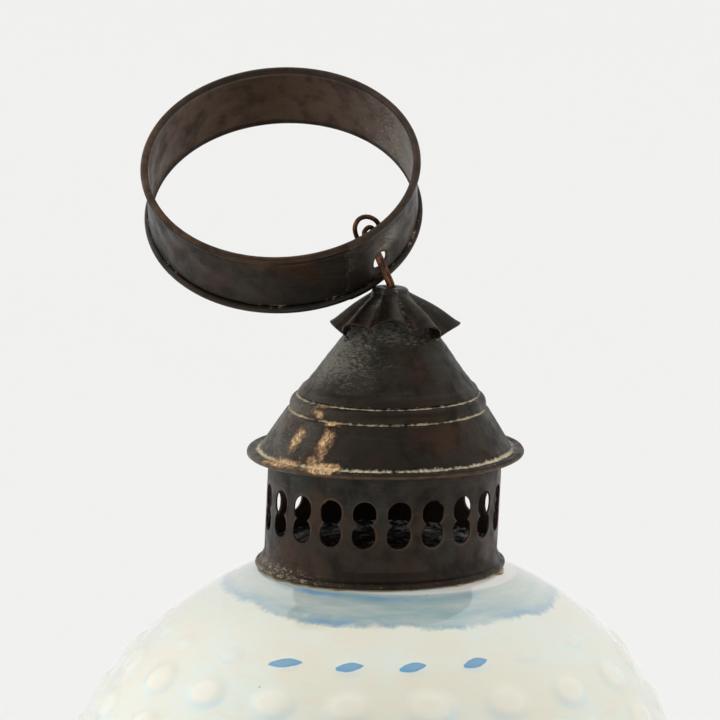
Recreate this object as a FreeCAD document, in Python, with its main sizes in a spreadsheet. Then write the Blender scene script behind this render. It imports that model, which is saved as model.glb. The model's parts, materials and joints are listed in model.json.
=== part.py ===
"""Hanging candle lantern: pierced copper collars, a glass globe, a crimped smoke cap and a hand ring.

Millimetres, +Z up.  The origin is the centre of the face that the lantern rests on.
Every size below is set once in the "sizes" sheet; whatever mates with a piece is worked out from it.
"""
import FreeCAD, Part
import math
import os
import re
import Sketcher

DRIVING_SIZES = {
    # sheet copper and the wire that its edges are rolled round
    "sheet_wall": 0.7,
    "roll_radius": 1.1,
    "roll_wire_radius": 0.5,
    "solder_gap": 0.05,
    "eave_solder_leg": 2.2,
    "socket_solder_leg": 2.0,
    "pan_solder_leg": 1.6,
    "cap_drop_radius": 1.3,
    # pierced collar above the globe
    "collar_radius": 41.4,
    "collar_height": 45.0,
    "flare_width": 3.05,
    "foot_roll_rise": 0.9,
    "flare_height": 5.5,
    "vent_count": 21,
    "vent_radius": 4.2,
    "vent_stretch": 0.4,
    "vent_lobe_spacing": 7.6,
    "vent_centre_height": 22.2,
    "vent_turn": -8.8,
    # globe
    "globe_radius": 117.5,
    "globe_wall": 2.8,
    "hob_height": 1.5,
    "hob_band_angle": 52.0,
    "glass_gap": 0.1,
    "neck_wall": 2.8,
    "neck_height": 6.0,
    "cement_wall": 1.2,
    "cement_height": 7.4,
    # roof: radii step in from the collar's wall, heights step up from the collar's foot
    "eave_overhang": 7.8,
    "eave_roll_radius": 1.2,
    "eave_height": 42.0,
    "brim_overhang": 0.5,
    "brim_height": 46.8,
    "skirt_step": 5.5,
    "waist_height": 55.6,
    "bead_step": 1.9,
    "bead_height": 58.6,
    "cone_step": 2.5,
    "cone_foot_height": 62.0,
    "cone_slope": 0.735,
    "cone_lap": 3.0,
    "chimney_radius": 11.42,
    # smoke cap: heights are measured down from the crown
    "crown_lift": 9.8,
    "crown_radius": 4.8,
    "crown_hole_clearance": 0.53,
    "shoulder_radius": 6.6,
    "shoulder_drop": 1.95,
    "cap_wall": 0.6,
    "flute_count": 8,
    "flute_tip_radius": 22.8,
    "flute_tip_drop": 13.3,
    "crease_drop": 18.6,
    # wire link
    "link_wire_radius": 0.85,
    "strand_gap": 0.07,
    "link_bend_rise": 0.9,
    "link_rise": 9.85,
    "link_reach": 4.25,
    "link_heading": 204.1,
    "eye_start": 3.2,
    "eye_length": 17.3,
    "eye_half_width": 3.4,
    "eye_widest_from": 0.46,
    "eye_widest_to": 0.75,
    "arm_bend_clearance": 0.15,
    "crown_bend_radius": 1.6,
    "hole_bend_radius": 3.0,
    "eye_bend_radius": 3.0,
    "eye_shoulder_radius": 2.5,
    "eye_top_radius": 2.2,
    "link_arm_length": 4.2,
    "washer_radius": 4.4,
    "washer_wall": 0.8,
    "washer_gap": 0.1,
    # hanging ring
    "ring_radius": 48.2,
    "ring_roll_radius": 1.4,
    "ring_roll_wire_radius": 0.75,
    "ring_roll_offset": 0.2,
    "ring_roll_spacing": 24.16,
    "ring_hole_clearance": 1.68,
    "ring_hole_offset": 4.0,
    "ring_heading": 142.7,
    "ring_lean": 68.9,
    "ring_twist": 29.7,
    # lower collar, fixed to the globe
    "base_height": 28.8,
    "intake_count": 21,
    "intake_radius": 3.0,
    "intake_height": 17.5,
    # removable base
    "slip_clearance": 0.25,
    "seat_gap": 0.1,
    "drum_height": 8.2,
    "plate_height": 3.5,
    "plate_wall": 0.8,
    "flange_overhang": 3.6,
    "base_overhang": 10.6,
    "base_roll_radius": 1.3,
    "base_roll_wire_radius": 0.7,
    "socket_radius": 11.2,
    "socket_wall": 0.7,
    "socket_depth": 24.0,
    "drip_pan_radius": 26.0,
    "drip_pan_height": 20.0,
    "drip_pan_rise": 3.5,
    "spring_count": 3,
    "spring_width": 5.0,
    "spring_wall": 0.45,
    "spring_clearance": 0.12,
    "spring_foot_rise": 1.0,
    "spring_bend_rise": 0.4,
    "spring_bearing_from": 2.2,
    "spring_bearing_to": 3.4,
    "spring_tip_rise": 6.0,
    "spring_tip_inset": 0.6,
}

# where the two faces of a sheet run into a rolled edge: shares of the roll's radius, inward and upward
ROLL_OUTER_IN, ROLL_OUTER_UP = 0.23, 0.77
ROLL_INNER_IN, ROLL_INNER_UP = 0.72, 0.45
EAVE_OUTER_IN, EAVE_OUTER_UP = 0.3, 0.85
EAVE_INNER_IN, EAVE_INNER_UP = 0.72, 0.3
PLATE_OUTER_IN, PLATE_INNER_IN = 0.62, 0.72

COLLAR_INNER = "(collar_radius - sheet_wall)"
FOOT_ROLL_CIRCLE = "(collar_radius + flare_width - roll_radius)"
GLOBE_REACH = "sqrt((globe_radius + roll_radius + glass_gap) ^ 2 - %s ^ 2)" % FOOT_ROLL_CIRCLE
GLOBE_DROP = "(%s - foot_roll_rise)" % GLOBE_REACH
COLLAR_FOOT_Z = "(base_height + 2 * %s)" % GLOBE_DROP
GLOBE_CENTRE_Z = "(base_height + %s)" % GLOBE_DROP
NECK_RADIUS = "(%s - cement_wall)" % COLLAR_INNER
EAVE_CIRCLE = "(collar_radius + eave_overhang - eave_roll_radius)"
BRIM_RADIUS = "(collar_radius + brim_overhang)"
WAIST_RADIUS = "(%s - skirt_step)" % BRIM_RADIUS
BEAD_RADIUS = "(%s - bead_step)" % WAIST_RADIUS
CONE_FOOT_RADIUS = "(%s - cone_step)" % BEAD_RADIUS
CHIMNEY_HEIGHT = "(cone_foot_height + (%s - chimney_radius) / cone_slope)" % CONE_FOOT_RADIUS
CROWN_HEIGHT = "(%s + crown_lift)" % CHIMNEY_HEIGHT
CREASE_FOOT = "(%s - crease_drop - cap_wall)" % CROWN_HEIGHT
STRAND_OFFSET = "(link_wire_radius + strand_gap)"
LINK_HALF_WIDTH = "(%s + link_wire_radius)" % STRAND_OFFSET
DRUM_RADIUS = "(collar_radius - sheet_wall - slip_clearance)"
DRUM_FOOT_Z = "(plate_height + plate_wall)"

doc = FreeCAD.newDocument("hanging_lantern")
sheet = doc.addObject("Spreadsheet::Sheet", "sizes")
for row, (alias, number) in enumerate(DRIVING_SIZES.items(), start=1):
    sheet.set("A%d" % row, alias)
    sheet.set("B%d" % row, str(number))
    sheet.setAlias("B%d" % row, alias)
doc.recompute()


# ---------------------------------------------------------------- expressions and sketches
def sheet_words(text):
    """Put the sheet's name before each alias in an expression."""
    return re.sub(r"[a-z][a-z_]+", lambda word: named(word.group(0)), text)


def named(word):
    return "sizes." + word if word in DRIVING_SIZES else word


def mm(text):
    """The present value of an expression of aliases."""
    result = sheet.evalExpression(sheet_words(text))
    return float(getattr(result, "Value", result))


def bind(thing, path, text):
    thing.setExpression(path, sheet_words(text))


def new_body(label, height="0", turn="0"):
    """A PartDesign body, raised along Z and turned about it."""
    body = doc.addObject("PartDesign::Body", label)
    body.Label = label
    bind(body, ".Placement.Base.z", height)
    bind(body, ".Placement.Rotation.Angle", turn)
    return body


def new_sketch(body, name, role="XZ_Plane"):
    plane = [item for item in body.Origin.OriginFeatures if item.Role == role][0]
    sketch = body.newObject("Sketcher::SketchObject", name)
    sketch.AttachmentSupport = [(plane, "")]
    sketch.MapMode = "FlatFace"
    return sketch


def pin_point(sketch, geometry, end, across, up, tag):
    """Hold one point of a sketch at two bound distances from its origin."""
    for kind, text in (("DistanceX", across), ("DistanceY", up)):
        index = sketch.addConstraint(Sketcher.Constraint(kind, -1, 1, geometry, end, mm(text)))
        sketch.renameConstraint(index, "%s_%s" % (kind.lower(), tag))
        bind(sketch, ".Constraints.%s_%s" % (kind.lower(), tag), text)


def join(sketch, first, first_end, second, second_end):
    sketch.addConstraint(Sketcher.Constraint("Coincident", first, first_end, second, second_end))


def polygon_sketch(body, name, corners, role="XZ_Plane"):
    """A closed outline of straight runs; each corner is a pair of expressions."""
    sketch = new_sketch(body, name, role)
    points = [FreeCAD.Vector(mm(across), mm(up), 0) for across, up in corners]
    runs = [Part.LineSegment(a, b) for a, b in zip(points, points[1:] + points[:1])]
    sketch.addGeometry(runs, False)
    for index, (across, up) in enumerate(corners):
        join(sketch, index, 2, (index + 1) % len(corners), 1)
        pin_point(sketch, index, 1, across, up, "corner_%d" % index)
    return sketch


def circle_sketch(body, name, across, up, radii, role="XZ_Plane"):
    """Circles about one centre: one radius for a disc, two for a tube."""
    sketch = new_sketch(body, name, role)
    centre = FreeCAD.Vector(mm(across), mm(up), 0)
    for index, radius in enumerate(radii):
        sketch.addGeometry(Part.Circle(centre, FreeCAD.Vector(0, 0, 1), mm(radius)), False)
        pin_point(sketch, index, 3, across, up, "centre_%d" % index)
        number = sketch.addConstraint(Sketcher.Constraint("Radius", index, mm(radius)))
        sketch.renameConstraint(number, "radius_%d" % index)
        bind(sketch, ".Constraints.radius_%d" % index, radius)
    return sketch


def slot_sketch(body, name, across, up, radius, stretch):
    """An upright slot with round ends; up is its centre and stretch half its straight run."""
    sketch = new_sketch(body, name)
    x, y, r, half = mm(across), mm(up), mm(radius), mm(stretch)
    axis = FreeCAD.Vector(0, 0, 1)
    top = Part.Circle(FreeCAD.Vector(x, y + half, 0), axis, r)
    bottom = Part.Circle(FreeCAD.Vector(x, y - half, 0), axis, r)
    sketch.addGeometry(Part.ArcOfCircle(top, 0, math.pi), False)
    sketch.addGeometry(Part.ArcOfCircle(bottom, math.pi, 2 * math.pi), False)
    corners = [FreeCAD.Vector(x + side * r, y + end * half, 0) for side in (-1, 1) for end in (1, -1)]
    sketch.addGeometry(Part.LineSegment(corners[0], corners[1]), False)
    sketch.addGeometry(Part.LineSegment(corners[2], corners[3]), False)
    sketch.addConstraint(Sketcher.Constraint("Tangent", 0, 2, 2, 1))
    sketch.addConstraint(Sketcher.Constraint("Tangent", 2, 2, 1, 1))
    sketch.addConstraint(Sketcher.Constraint("Tangent", 1, 2, 3, 2))
    sketch.addConstraint(Sketcher.Constraint("Tangent", 3, 1, 0, 1))
    pin_point(sketch, 0, 3, across, "%s + %s" % (up, stretch), "top")
    pin_point(sketch, 1, 3, across, "%s - %s" % (up, stretch), "bottom")
    number = sketch.addConstraint(Sketcher.Constraint("Radius", 0, r))
    sketch.renameConstraint(number, "end_radius")
    bind(sketch, ".Constraints.end_radius", radius)
    return sketch


def revolve(body, name, sketch):
    """Turn a sketch right round its own vertical axis."""
    turned = body.newObject("PartDesign::Revolution", name)
    turned.Profile = sketch
    turned.ReferenceAxis = (sketch, ["V_Axis"])
    turned.Angle = 360
    sketch.Visibility = False
    return turned


def pierce(body, name, sketch, reversed_cut):
    """Cut a sketch out of one side of a thin wall, and make sure that it removed metal."""
    doc.recompute()
    volume_before = body.Tip.Shape.Volume
    pocket = body.newObject("PartDesign::Pocket", name)
    pocket.Profile = sketch
    pocket.Type = "Length"
    pocket.Reversed = reversed_cut
    bind(pocket, "Length", "2 * collar_radius")
    doc.recompute()
    if pocket.Shape.Volume >= volume_before - 1.0:
        raise RuntimeError("%s cut nothing" % name)
    return pocket


def repeat_round(body, name, features, count):
    pattern = body.newObject("PartDesign::PolarPattern", name)
    pattern.Originals = features
    axis = [item for item in body.Origin.OriginFeatures if item.Role == "Z_Axis"][0]
    pattern.Axis = (axis, [""])
    pattern.Angle = 360
    bind(pattern, "Occurrences", count)
    body.Tip = pattern
    return pattern


def revolved_piece(label, corners, height="0", turn="0"):
    body = new_body(label, height, turn)
    revolve(body, label + "_turned", polygon_sketch(body, label + "_outline", corners))
    return body


def add_roll(body, name, circle_radius, height, tube_radius, wire_radius):
    """A rolled edge: a hollow tube round the rim, just clear of the wire inside it."""
    radii = [tube_radius, "%s + solder_gap" % wire_radius]
    revolve(body, name + "_turned", circle_sketch(body, name, circle_radius, height, radii))


def round_wire(label, circle_radius, wire_radius):
    wire = doc.addObject("Part::Torus", label)
    wire.Label = label
    bind(wire, "Radius1", circle_radius)
    bind(wire, "Radius2", wire_radius)
    return wire


def edge_wire(label, circle_radius, height, wire_radius):
    """The round wire inside a level rolled edge."""
    bind(round_wire(label, circle_radius, wire_radius), ".Placement.Base.z", height)


def shaped_piece(label, shape):
    piece = doc.addObject("Part::Feature", label)
    piece.Label = label
    piece.Shape = shape
    return piece


# ---------------------------------------------------------------- collars
def roll_join(rise, inward, upward):
    """Where a face of the collar's flare meets its rolled foot."""
    across = "%s - %g * roll_radius" % (FOOT_ROLL_CIRCLE, inward)
    return across, rise + "(foot_roll_rise + %g * roll_radius)" % upward


def collar_corners(way, far_end):
    """Half section of a collar wall; way is 1 above the globe and -1 below it, 0 is its foot plane."""
    rise = "%d * " % way
    return [
        ("collar_radius", far_end),
        ("collar_radius", rise + "flare_height"),
        roll_join(rise, ROLL_OUTER_IN, ROLL_OUTER_UP),
        roll_join(rise, ROLL_INNER_IN, ROLL_INNER_UP),
        (COLLAR_INNER, rise + "(flare_height - 0.4 * sheet_wall)"),
        (COLLAR_INNER, far_end),
    ]


def make_collar(label, height, way, far_end, turn):
    collar = new_body(label, height, turn)
    outline = polygon_sketch(collar, label + "_outline", collar_corners(way, far_end))
    revolve(collar, label + "_wall", outline)
    roll_height = "%d * foot_roll_rise" % way
    add_roll(collar, label + "_roll", FOOT_ROLL_CIRCLE, roll_height, "roll_radius", "roll_wire_radius")
    return collar


def make_vent_collar():
    collar = make_collar("vent_collar", COLLAR_FOOT_Z, 1, "collar_height", "vent_turn")
    lobes = []
    for name, way in (("upper", "+"), ("lower", "-")):
        centre = "vent_centre_height %s vent_lobe_spacing / 2" % way
        lobe = slot_sketch(collar, name + "_lobe", "0", centre, "vent_radius", "vent_stretch")
        lobes.append(pierce(collar, name + "_lobe_cut", lobe, True))
    repeat_round(collar, "vent_ring", lobes, "vent_count")


def make_base_collar():
    far_end = "%s + seat_gap - base_height" % DRUM_FOOT_Z
    collar = make_collar("base_collar", "base_height", -1, far_end, "0")
    hole = circle_sketch(collar, "intake", "0", "intake_height - base_height", ["intake_radius"])
    repeat_round(collar, "intake_ring", [pierce(collar, "intake_cut", hole, True)], "intake_count")


# ---------------------------------------------------------------- globe and the cement that holds it
def make_globe():
    """A sphere with a straight neck at each end, turned in one piece about its centre."""
    globe = new_body("globe", GLOBE_CENTRE_Z)
    sketch = new_sketch(globe, "globe_outline")
    axis = FreeCAD.Vector(0, 0, 1)
    outer, inner = mm("globe_radius"), mm("globe_radius - globe_wall")
    neck_outer, neck_inner = mm(NECK_RADIUS), mm(NECK_RADIUS + " - neck_wall")
    lip_rise = "(%s + neck_height)" % GLOBE_DROP
    lip = mm(lip_rise)
    for radius, neck in ((outer, neck_outer), (inner, neck_inner)):
        swing = math.acos(neck / radius)
        circle = Part.Circle(FreeCAD.Vector(0, 0, 0), axis, radius)
        sketch.addGeometry(Part.ArcOfCircle(circle, -swing, swing), False)
    outer_end = math.sqrt(outer ** 2 - neck_outer ** 2)
    inner_end = math.sqrt(inner ** 2 - neck_inner ** 2)
    for way in (1, -1):
        stops = [(neck_outer, outer_end), (neck_outer, lip), (neck_inner, lip), (neck_inner, inner_end)]
        points = [FreeCAD.Vector(across, way * up, 0) for across, up in stops]
        for start, stop in zip(points, points[1:]):
            sketch.addGeometry(Part.LineSegment(start, stop), False)
    for arc, radius in ((0, "globe_radius"), (1, "globe_radius - globe_wall")):
        join(sketch, arc, 3, -1, 1)
        number = sketch.addConstraint(Sketcher.Constraint("Radius", arc, mm(radius)))
        sketch.renameConstraint(number, "ball_radius_%d" % arc)
        bind(sketch, ".Constraints.ball_radius_%d" % arc, radius)
    for first, arc_end, way in ((2, 2, ""), (5, 1, "-")):
        join(sketch, first, 1, 0, arc_end)
        join(sketch, first, 2, first + 1, 1)
        join(sketch, first + 1, 2, first + 2, 1)
        join(sketch, first + 2, 2, 1, arc_end)
        sketch.addConstraint(Sketcher.Constraint("Vertical", first))
        sketch.addConstraint(Sketcher.Constraint("Vertical", first + 2))
        pin_point(sketch, first + 1, 1, NECK_RADIUS, way + lip_rise, "outer_lip_%d" % first)
        pin_point(sketch, first + 1, 2, NECK_RADIUS + " - neck_wall", way + lip_rise, "inner_lip_%d" % first)
    revolve(globe, "globe_turned", sketch)
    add_hob_band(globe)


def add_hob_band(globe):
    """The band that the rows of moulded hobs fill, as thick as they stand proud of the ball."""
    sketch = new_sketch(globe, "hob_band_outline")
    axis = FreeCAD.Vector(0, 0, 1)
    swing = math.radians(mm("hob_band_angle"))
    for arc, radius in ((0, "(globe_radius + hob_height)"), (1, "(globe_radius - globe_wall / 2)")):
        circle = Part.Circle(FreeCAD.Vector(0, 0, 0), axis, mm(radius))
        sketch.addGeometry(Part.ArcOfCircle(circle, -swing, swing), False)
        join(sketch, arc, 3, -1, 1)
    for end, way in ((1, -1), (2, 1)):
        points = [
            FreeCAD.Vector(mm(radius) * math.cos(swing), way * mm(radius) * math.sin(swing), 0)
            for radius in ("globe_radius + hob_height", "globe_radius - globe_wall / 2")
        ]
        sketch.addGeometry(Part.LineSegment(points[0], points[1]), False)
    join(sketch, 2, 1, 0, 1)
    join(sketch, 2, 2, 1, 1)
    join(sketch, 3, 1, 0, 2)
    join(sketch, 3, 2, 1, 2)
    for arc, radius in ((0, "(globe_radius + hob_height)"), (1, "(globe_radius - globe_wall / 2)")):
        across = radius + " * cos(hob_band_angle * 1 deg)"
        up = radius + " * sin(hob_band_angle * 1 deg)"
        pin_point(sketch, arc, 2, across, up, "band_top_%d" % arc)
        index = sketch.addConstraint(Sketcher.Constraint("DistanceY", -1, 1, arc, 1, -mm(up)))
        sketch.renameConstraint(index, "band_foot_%d" % arc)
        bind(sketch, ".Constraints.band_foot_%d" % arc, "-" + up)
    revolve(globe, "hob_band_turned", sketch)


def glass_rise(radius):
    """Height of the glass above the foot plane of the collar, at a radius from the axis."""
    return "(sqrt(globe_radius ^ 2 - %s ^ 2) - %s)" % (radius, GLOBE_DROP)


def make_cement(label, height, way):
    """Plaster between the neck of the globe and the wall and flare of a collar."""
    rise = "%d * " % way
    neck_side = "(%s + solder_gap)" % NECK_RADIUS
    flare_side = "(%s - roll_radius - 0.25)" % FOOT_ROLL_CIRCLE
    wall_side = "(%s - solder_gap)" % COLLAR_INNER
    corners = [
        (neck_side, rise + "cement_height"),
        (wall_side, rise + "cement_height"),
        (wall_side, rise + "(flare_height - sheet_wall)"),
        (flare_side, rise + "(foot_roll_rise + 0.6 * roll_radius)"),
        (flare_side, rise + "(%s + glass_gap)" % glass_rise(flare_side)),
        (neck_side, rise + "(%s + glass_gap)" % glass_rise(neck_side)),
    ]
    revolved_piece(label, corners, height)


# ---------------------------------------------------------------- roof
def cone_radius_at(height):
    """Outer radius of the roof cone at a height above the collar's foot plane."""
    return "(%s - cone_slope * (%s - cone_foot_height))" % (CONE_FOOT_RADIUS, height)


def eave_join(inward, upward):
    """Where a face of the brim meets the rolled eave."""
    across = "%s - %g * eave_roll_radius" % (EAVE_CIRCLE, inward)
    return across, "eave_height + %g * eave_roll_radius" % upward


def make_roof_skirt():
    """Sloping brim, skirt and one swelled bead, with a lap that goes up inside the cone."""
    lap_height = "(cone_foot_height + cone_lap)"
    lap_outer = cone_radius_at(lap_height) + " - 1.3 * sheet_wall - 2 * solder_gap"
    foot_outer = CONE_FOOT_RADIUS + " - 1.3 * sheet_wall - 2 * solder_gap"
    corners = [
        eave_join(EAVE_OUTER_IN, EAVE_OUTER_UP),
        (BRIM_RADIUS, "brim_height"),
        (WAIST_RADIUS, "waist_height"),
        (BEAD_RADIUS, "waist_height + 0.6"),
        (BEAD_RADIUS, "bead_height"),
        (CONE_FOOT_RADIUS + " + 0.8", "cone_foot_height - 1.2"),
        (foot_outer, "cone_foot_height"),
        (lap_outer, lap_height),
        (lap_outer + " - sheet_wall", lap_height),
        (foot_outer + " - sheet_wall", "cone_foot_height - 0.6"),
        (BEAD_RADIUS + " - 1.2 * sheet_wall", "bead_height - 0.4"),
        (BEAD_RADIUS + " - 1.2 * sheet_wall", "waist_height - 0.4"),
        (WAIST_RADIUS + " - 1.3 * sheet_wall", "waist_height - 1.2"),
        (BRIM_RADIUS + " - 1.1 * sheet_wall", "brim_height - sheet_wall"),
        eave_join(EAVE_INNER_IN, EAVE_INNER_UP),
    ]
    skirt = revolved_piece("roof_skirt", corners, COLLAR_FOOT_Z)
    add_roll(skirt, "eave_roll", EAVE_CIRCLE, "eave_height", "eave_roll_radius", "roll_wire_radius")


def make_roof_cone():
    across_wall = " - 1.24 * sheet_wall"
    corners = [
        (CONE_FOOT_RADIUS, "cone_foot_height"),
        ("chimney_radius", CHIMNEY_HEIGHT),
        ("chimney_radius" + across_wall, CHIMNEY_HEIGHT),
        (CONE_FOOT_RADIUS + across_wall, "cone_foot_height"),
    ]
    revolved_piece("roof_cone", corners, COLLAR_FOOT_Z)


def make_roof_solder():
    """Solder run under the eave, between the collar wall and the underside of the brim."""
    wall_side = "(collar_radius + solder_gap)"
    corners = [
        (wall_side, "eave_height + 0.5"),
        (wall_side + " + eave_solder_leg", "eave_height + 1.6"),
        (wall_side, "eave_height + 2.6"),
    ]
    revolved_piece("roof_solder", corners, COLLAR_FOOT_Z)


# ---------------------------------------------------------------- smoke cap
def triangle_faces(ring_a, ring_b):
    """Two triangles for each step between two rings of points."""
    faces = []
    for i in range(len(ring_a)):
        k = (i + 1) % len(ring_a)
        for corners in ((ring_a[i], ring_a[k], ring_b[i]), (ring_a[k], ring_b[k], ring_b[i])):
            faces.append(Part.Face(Part.makePolygon(list(corners) + [corners[0]])))
    return faces


def cap_rings(inset, drop):
    """Crown edge, shoulder and lower edge of the folded skirt.

    The lower edge swings between a crest and a crease, as half a cosine wave to each side of the crest.
    """
    steps_per_flute = 4
    count = int(mm("flute_count")) * steps_per_flute
    crease_radius = mm(cone_radius_at(CREASE_FOOT)) + 0.35
    crease_height = mm(CROWN_HEIGHT + " - crease_drop")
    rings = [[], [], []]
    for i in range(count):
        angle = 2 * math.pi * i / count
        crest = 0.5 + 0.5 * math.cos(2 * math.pi * i / steps_per_flute)
        low_radius = crease_radius + crest * (mm("flute_tip_radius") - crease_radius)
        low_height = crease_height + crest * mm("crease_drop - flute_tip_drop")
        crown = (mm("crown_radius"), mm(CROWN_HEIGHT))
        shoulder = (mm("shoulder_radius"), mm(CROWN_HEIGHT + " - shoulder_drop"))
        levels = (crown, shoulder, (low_radius, low_height))
        for ring, (radius, height) in zip(rings, levels):
            across = radius - inset
            ring.append(FreeCAD.Vector(across * math.cos(angle), across * math.sin(angle), height - drop))
    return rings


def make_smoke_cap():
    outer = cap_rings(0.0, 0.0)
    inner = cap_rings(0.4 * mm("cap_wall"), mm("cap_wall"))
    faces = []
    for rings in (outer, inner):
        faces += triangle_faces(rings[0], rings[1]) + triangle_faces(rings[1], rings[2])
        faces.append(Part.Face(Part.makePolygon(rings[0] + [rings[0][0]])))
    faces += triangle_faces(outer[2], inner[2])
    shell = Part.makeShell(faces)
    shell.sewShape()
    solid = Part.Solid(shell)
    if solid.Volume < 0:
        solid.reverse()
    hole_foot = FreeCAD.Vector(0, 0, mm(CROWN_HEIGHT + " - 2 * cap_wall"))
    hole = Part.makeCylinder(mm(LINK_HALF_WIDTH + " + crown_hole_clearance"), mm("4 * cap_wall"), hole_foot)
    cap = shaped_piece("smoke_cap", solid.cut(hole))
    bind(cap, ".Placement.Base.z", COLLAR_FOOT_Z)
    return solid


def make_cap_solder(cap_solid):
    """A drop of solder at the foot of each crease, seated on the cone and trimmed to the cap."""
    foot, top = mm("cone_foot_height"), mm(CHIMNEY_HEIGHT)
    foot_radius, top_radius = (mm(radius + " + solder_gap") for radius in (CONE_FOOT_RADIUS, "chimney_radius"))
    cone = Part.makeCone(foot_radius, top_radius, top - foot, FreeCAD.Vector(0, 0, foot))
    height = mm(CREASE_FOOT)
    radius = mm(cone_radius_at(CREASE_FOOT)) + 0.2
    drops = []
    for i in range(int(mm("flute_count"))):
        angle = 2 * math.pi * (i + 0.5) / mm("flute_count")
        centre = FreeCAD.Vector(radius * math.cos(angle), radius * math.sin(angle), height)
        drop = Part.makeSphere(mm("cap_drop_radius"), centre).cut(cone).cut(cap_solid)
        drops.append(max(drop.Solids, key=lambda solid: solid.Volume))
    solder = shaped_piece("cap_solder", Part.makeCompound(drops))
    bind(solder, ".Placement.Base.z", COLLAR_FOOT_Z)


# ---------------------------------------------------------------- wire link
def ring_directions():
    """Unit vectors at the ring's hole: inward heading, hinge line, outward, along the band, ring axis."""
    heading, lean, twist = (math.radians(mm(name)) for name in ("ring_heading", "ring_lean", "ring_twist"))
    up = FreeCAD.Vector(0, 0, 1)
    inward = FreeCAD.Vector(math.cos(heading), math.sin(heading), 0)
    hinge = inward.cross(up)
    to_centre = up * math.cos(lean) + inward * math.sin(lean)
    side = hinge.cross(to_centre)
    ring_axis = side * math.cos(twist) - hinge * math.sin(twist)
    outward = to_centre * -1
    return inward, hinge, outward, ring_axis.cross(outward), ring_axis


def ring_hole_point():
    """The middle of the ring's hole, reached by the link from the middle of the crown."""
    heading, reach = math.radians(mm("link_heading")), mm("link_reach")
    height = mm("%s + %s + link_rise" % (COLLAR_FOOT_Z, CROWN_HEIGHT))
    return FreeCAD.Vector(reach * math.cos(heading), reach * math.sin(heading), height)


def rounded_path(points, radii):
    """Straight runs joined by arcs that are tangent to both; radii are those of the inner points."""
    edges = []
    start = points[0]
    for before, corner, after, radius in zip(points, points[1:], points[2:], radii):
        arrive = (corner - before).normalize()
        leave = (after - corner).normalize()
        turn = arrive.getAngle(leave)
        reach = radius * math.tan(turn / 2)
        arc_start = corner - arrive * reach
        arc_stop = corner + leave * reach
        to_middle = (leave - arrive).normalize()
        middle = corner + to_middle * (radius / math.cos(turn / 2) - radius)
        edges.append(Part.LineSegment(start, arc_start).toShape())
        edges.append(Part.Arc(arc_start, middle, arc_stop).toShape())
        start = arc_stop
    edges.append(Part.LineSegment(start, points[-1]).toShape())
    return Part.Wire(edges)


def make_link_wire():
    """One bent wire: two arms under the crown, two strands through the ring's hole, an eye above it."""
    hinge = ring_directions()[1]
    crown = FreeCAD.Vector(0, 0, mm("%s + %s" % (COLLAR_FOOT_Z, CROWN_HEIGHT)))
    up = FreeCAD.Vector(0, 0, 1)
    under = mm("cap_wall + washer_gap + washer_wall + solder_gap + link_wire_radius")
    bend = crown + up * mm("link_bend_rise")
    hole = ring_hole_point()
    along = (hole - bend).normalize()
    side = (hinge - along * hinge.dot(along)).normalize()
    strand, half = mm(STRAND_OFFSET), mm("eye_half_width")
    length = mm("eye_length")
    middles = [crown - up * under] * 2 + [bend, hole + along * mm("eye_start")]
    middles += [hole + along * (mm(part) * length) for part in ("eye_widest_from", "eye_widest_to")]
    offsets = [hinge * mm("link_arm_length"), hinge * strand, hinge * strand]
    offsets += [side * strand, side * half, side * half]
    one_side = [middle + offset for middle, offset in zip(middles, offsets)]
    other_side = [middle - offset for middle, offset in zip(middles, offsets)][::-1]
    bends = ["link_wire_radius + arm_bend_clearance", "crown_bend_radius", "hole_bend_radius"]
    side_radii = [mm(bend) for bend in bends + ["eye_bend_radius", "eye_shoulder_radius"]]
    top = hole + along * length
    path = rounded_path(one_side + [top] + other_side, side_radii + [mm("eye_top_radius")] + side_radii[::-1])
    radius = mm("link_wire_radius")
    section = Part.Wire(Part.makeCircle(radius, one_side[0], hinge))
    tube = path.makePipeShell([section], True, True)
    expected = math.pi * radius ** 2 * path.Length
    if abs(tube.Volume - expected) > 0.01 * expected:
        raise RuntimeError("the link's volume is not its section times its length")
    shaped_piece("link_wire", tube)


def make_link_washer():
    """Flat washer between the crown's underside and the arms of the link."""
    under_crown = "%s + %s - cap_wall - washer_gap - washer_wall" % (COLLAR_FOOT_Z, CROWN_HEIGHT)
    washer = new_body("link_washer", under_crown)
    radii = ["washer_radius", LINK_HALF_WIDTH + " + solder_gap"]
    sketch = circle_sketch(washer, "washer_outline", "0", "0", radii, "XY_Plane")
    pad = washer.newObject("PartDesign::Pad", "washer_pad")
    pad.Profile = sketch
    bind(pad, "Length", "washer_wall")


# ---------------------------------------------------------------- hanging ring
RING_ROLL_CIRCLE = "(ring_radius + ring_roll_offset)"


def ring_placement():
    """The ring's own frame: X out through the hole, Z along its axis, origin at its centre."""
    outward, along_band, ring_axis = ring_directions()[2:]
    wall_middle = mm("ring_radius - sheet_wall / 2")
    centre = ring_hole_point() - outward * wall_middle + ring_axis * mm("ring_hole_offset")
    return FreeCAD.Placement(centre, FreeCAD.Rotation(outward, along_band, ring_axis, "XYZ"))


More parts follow.
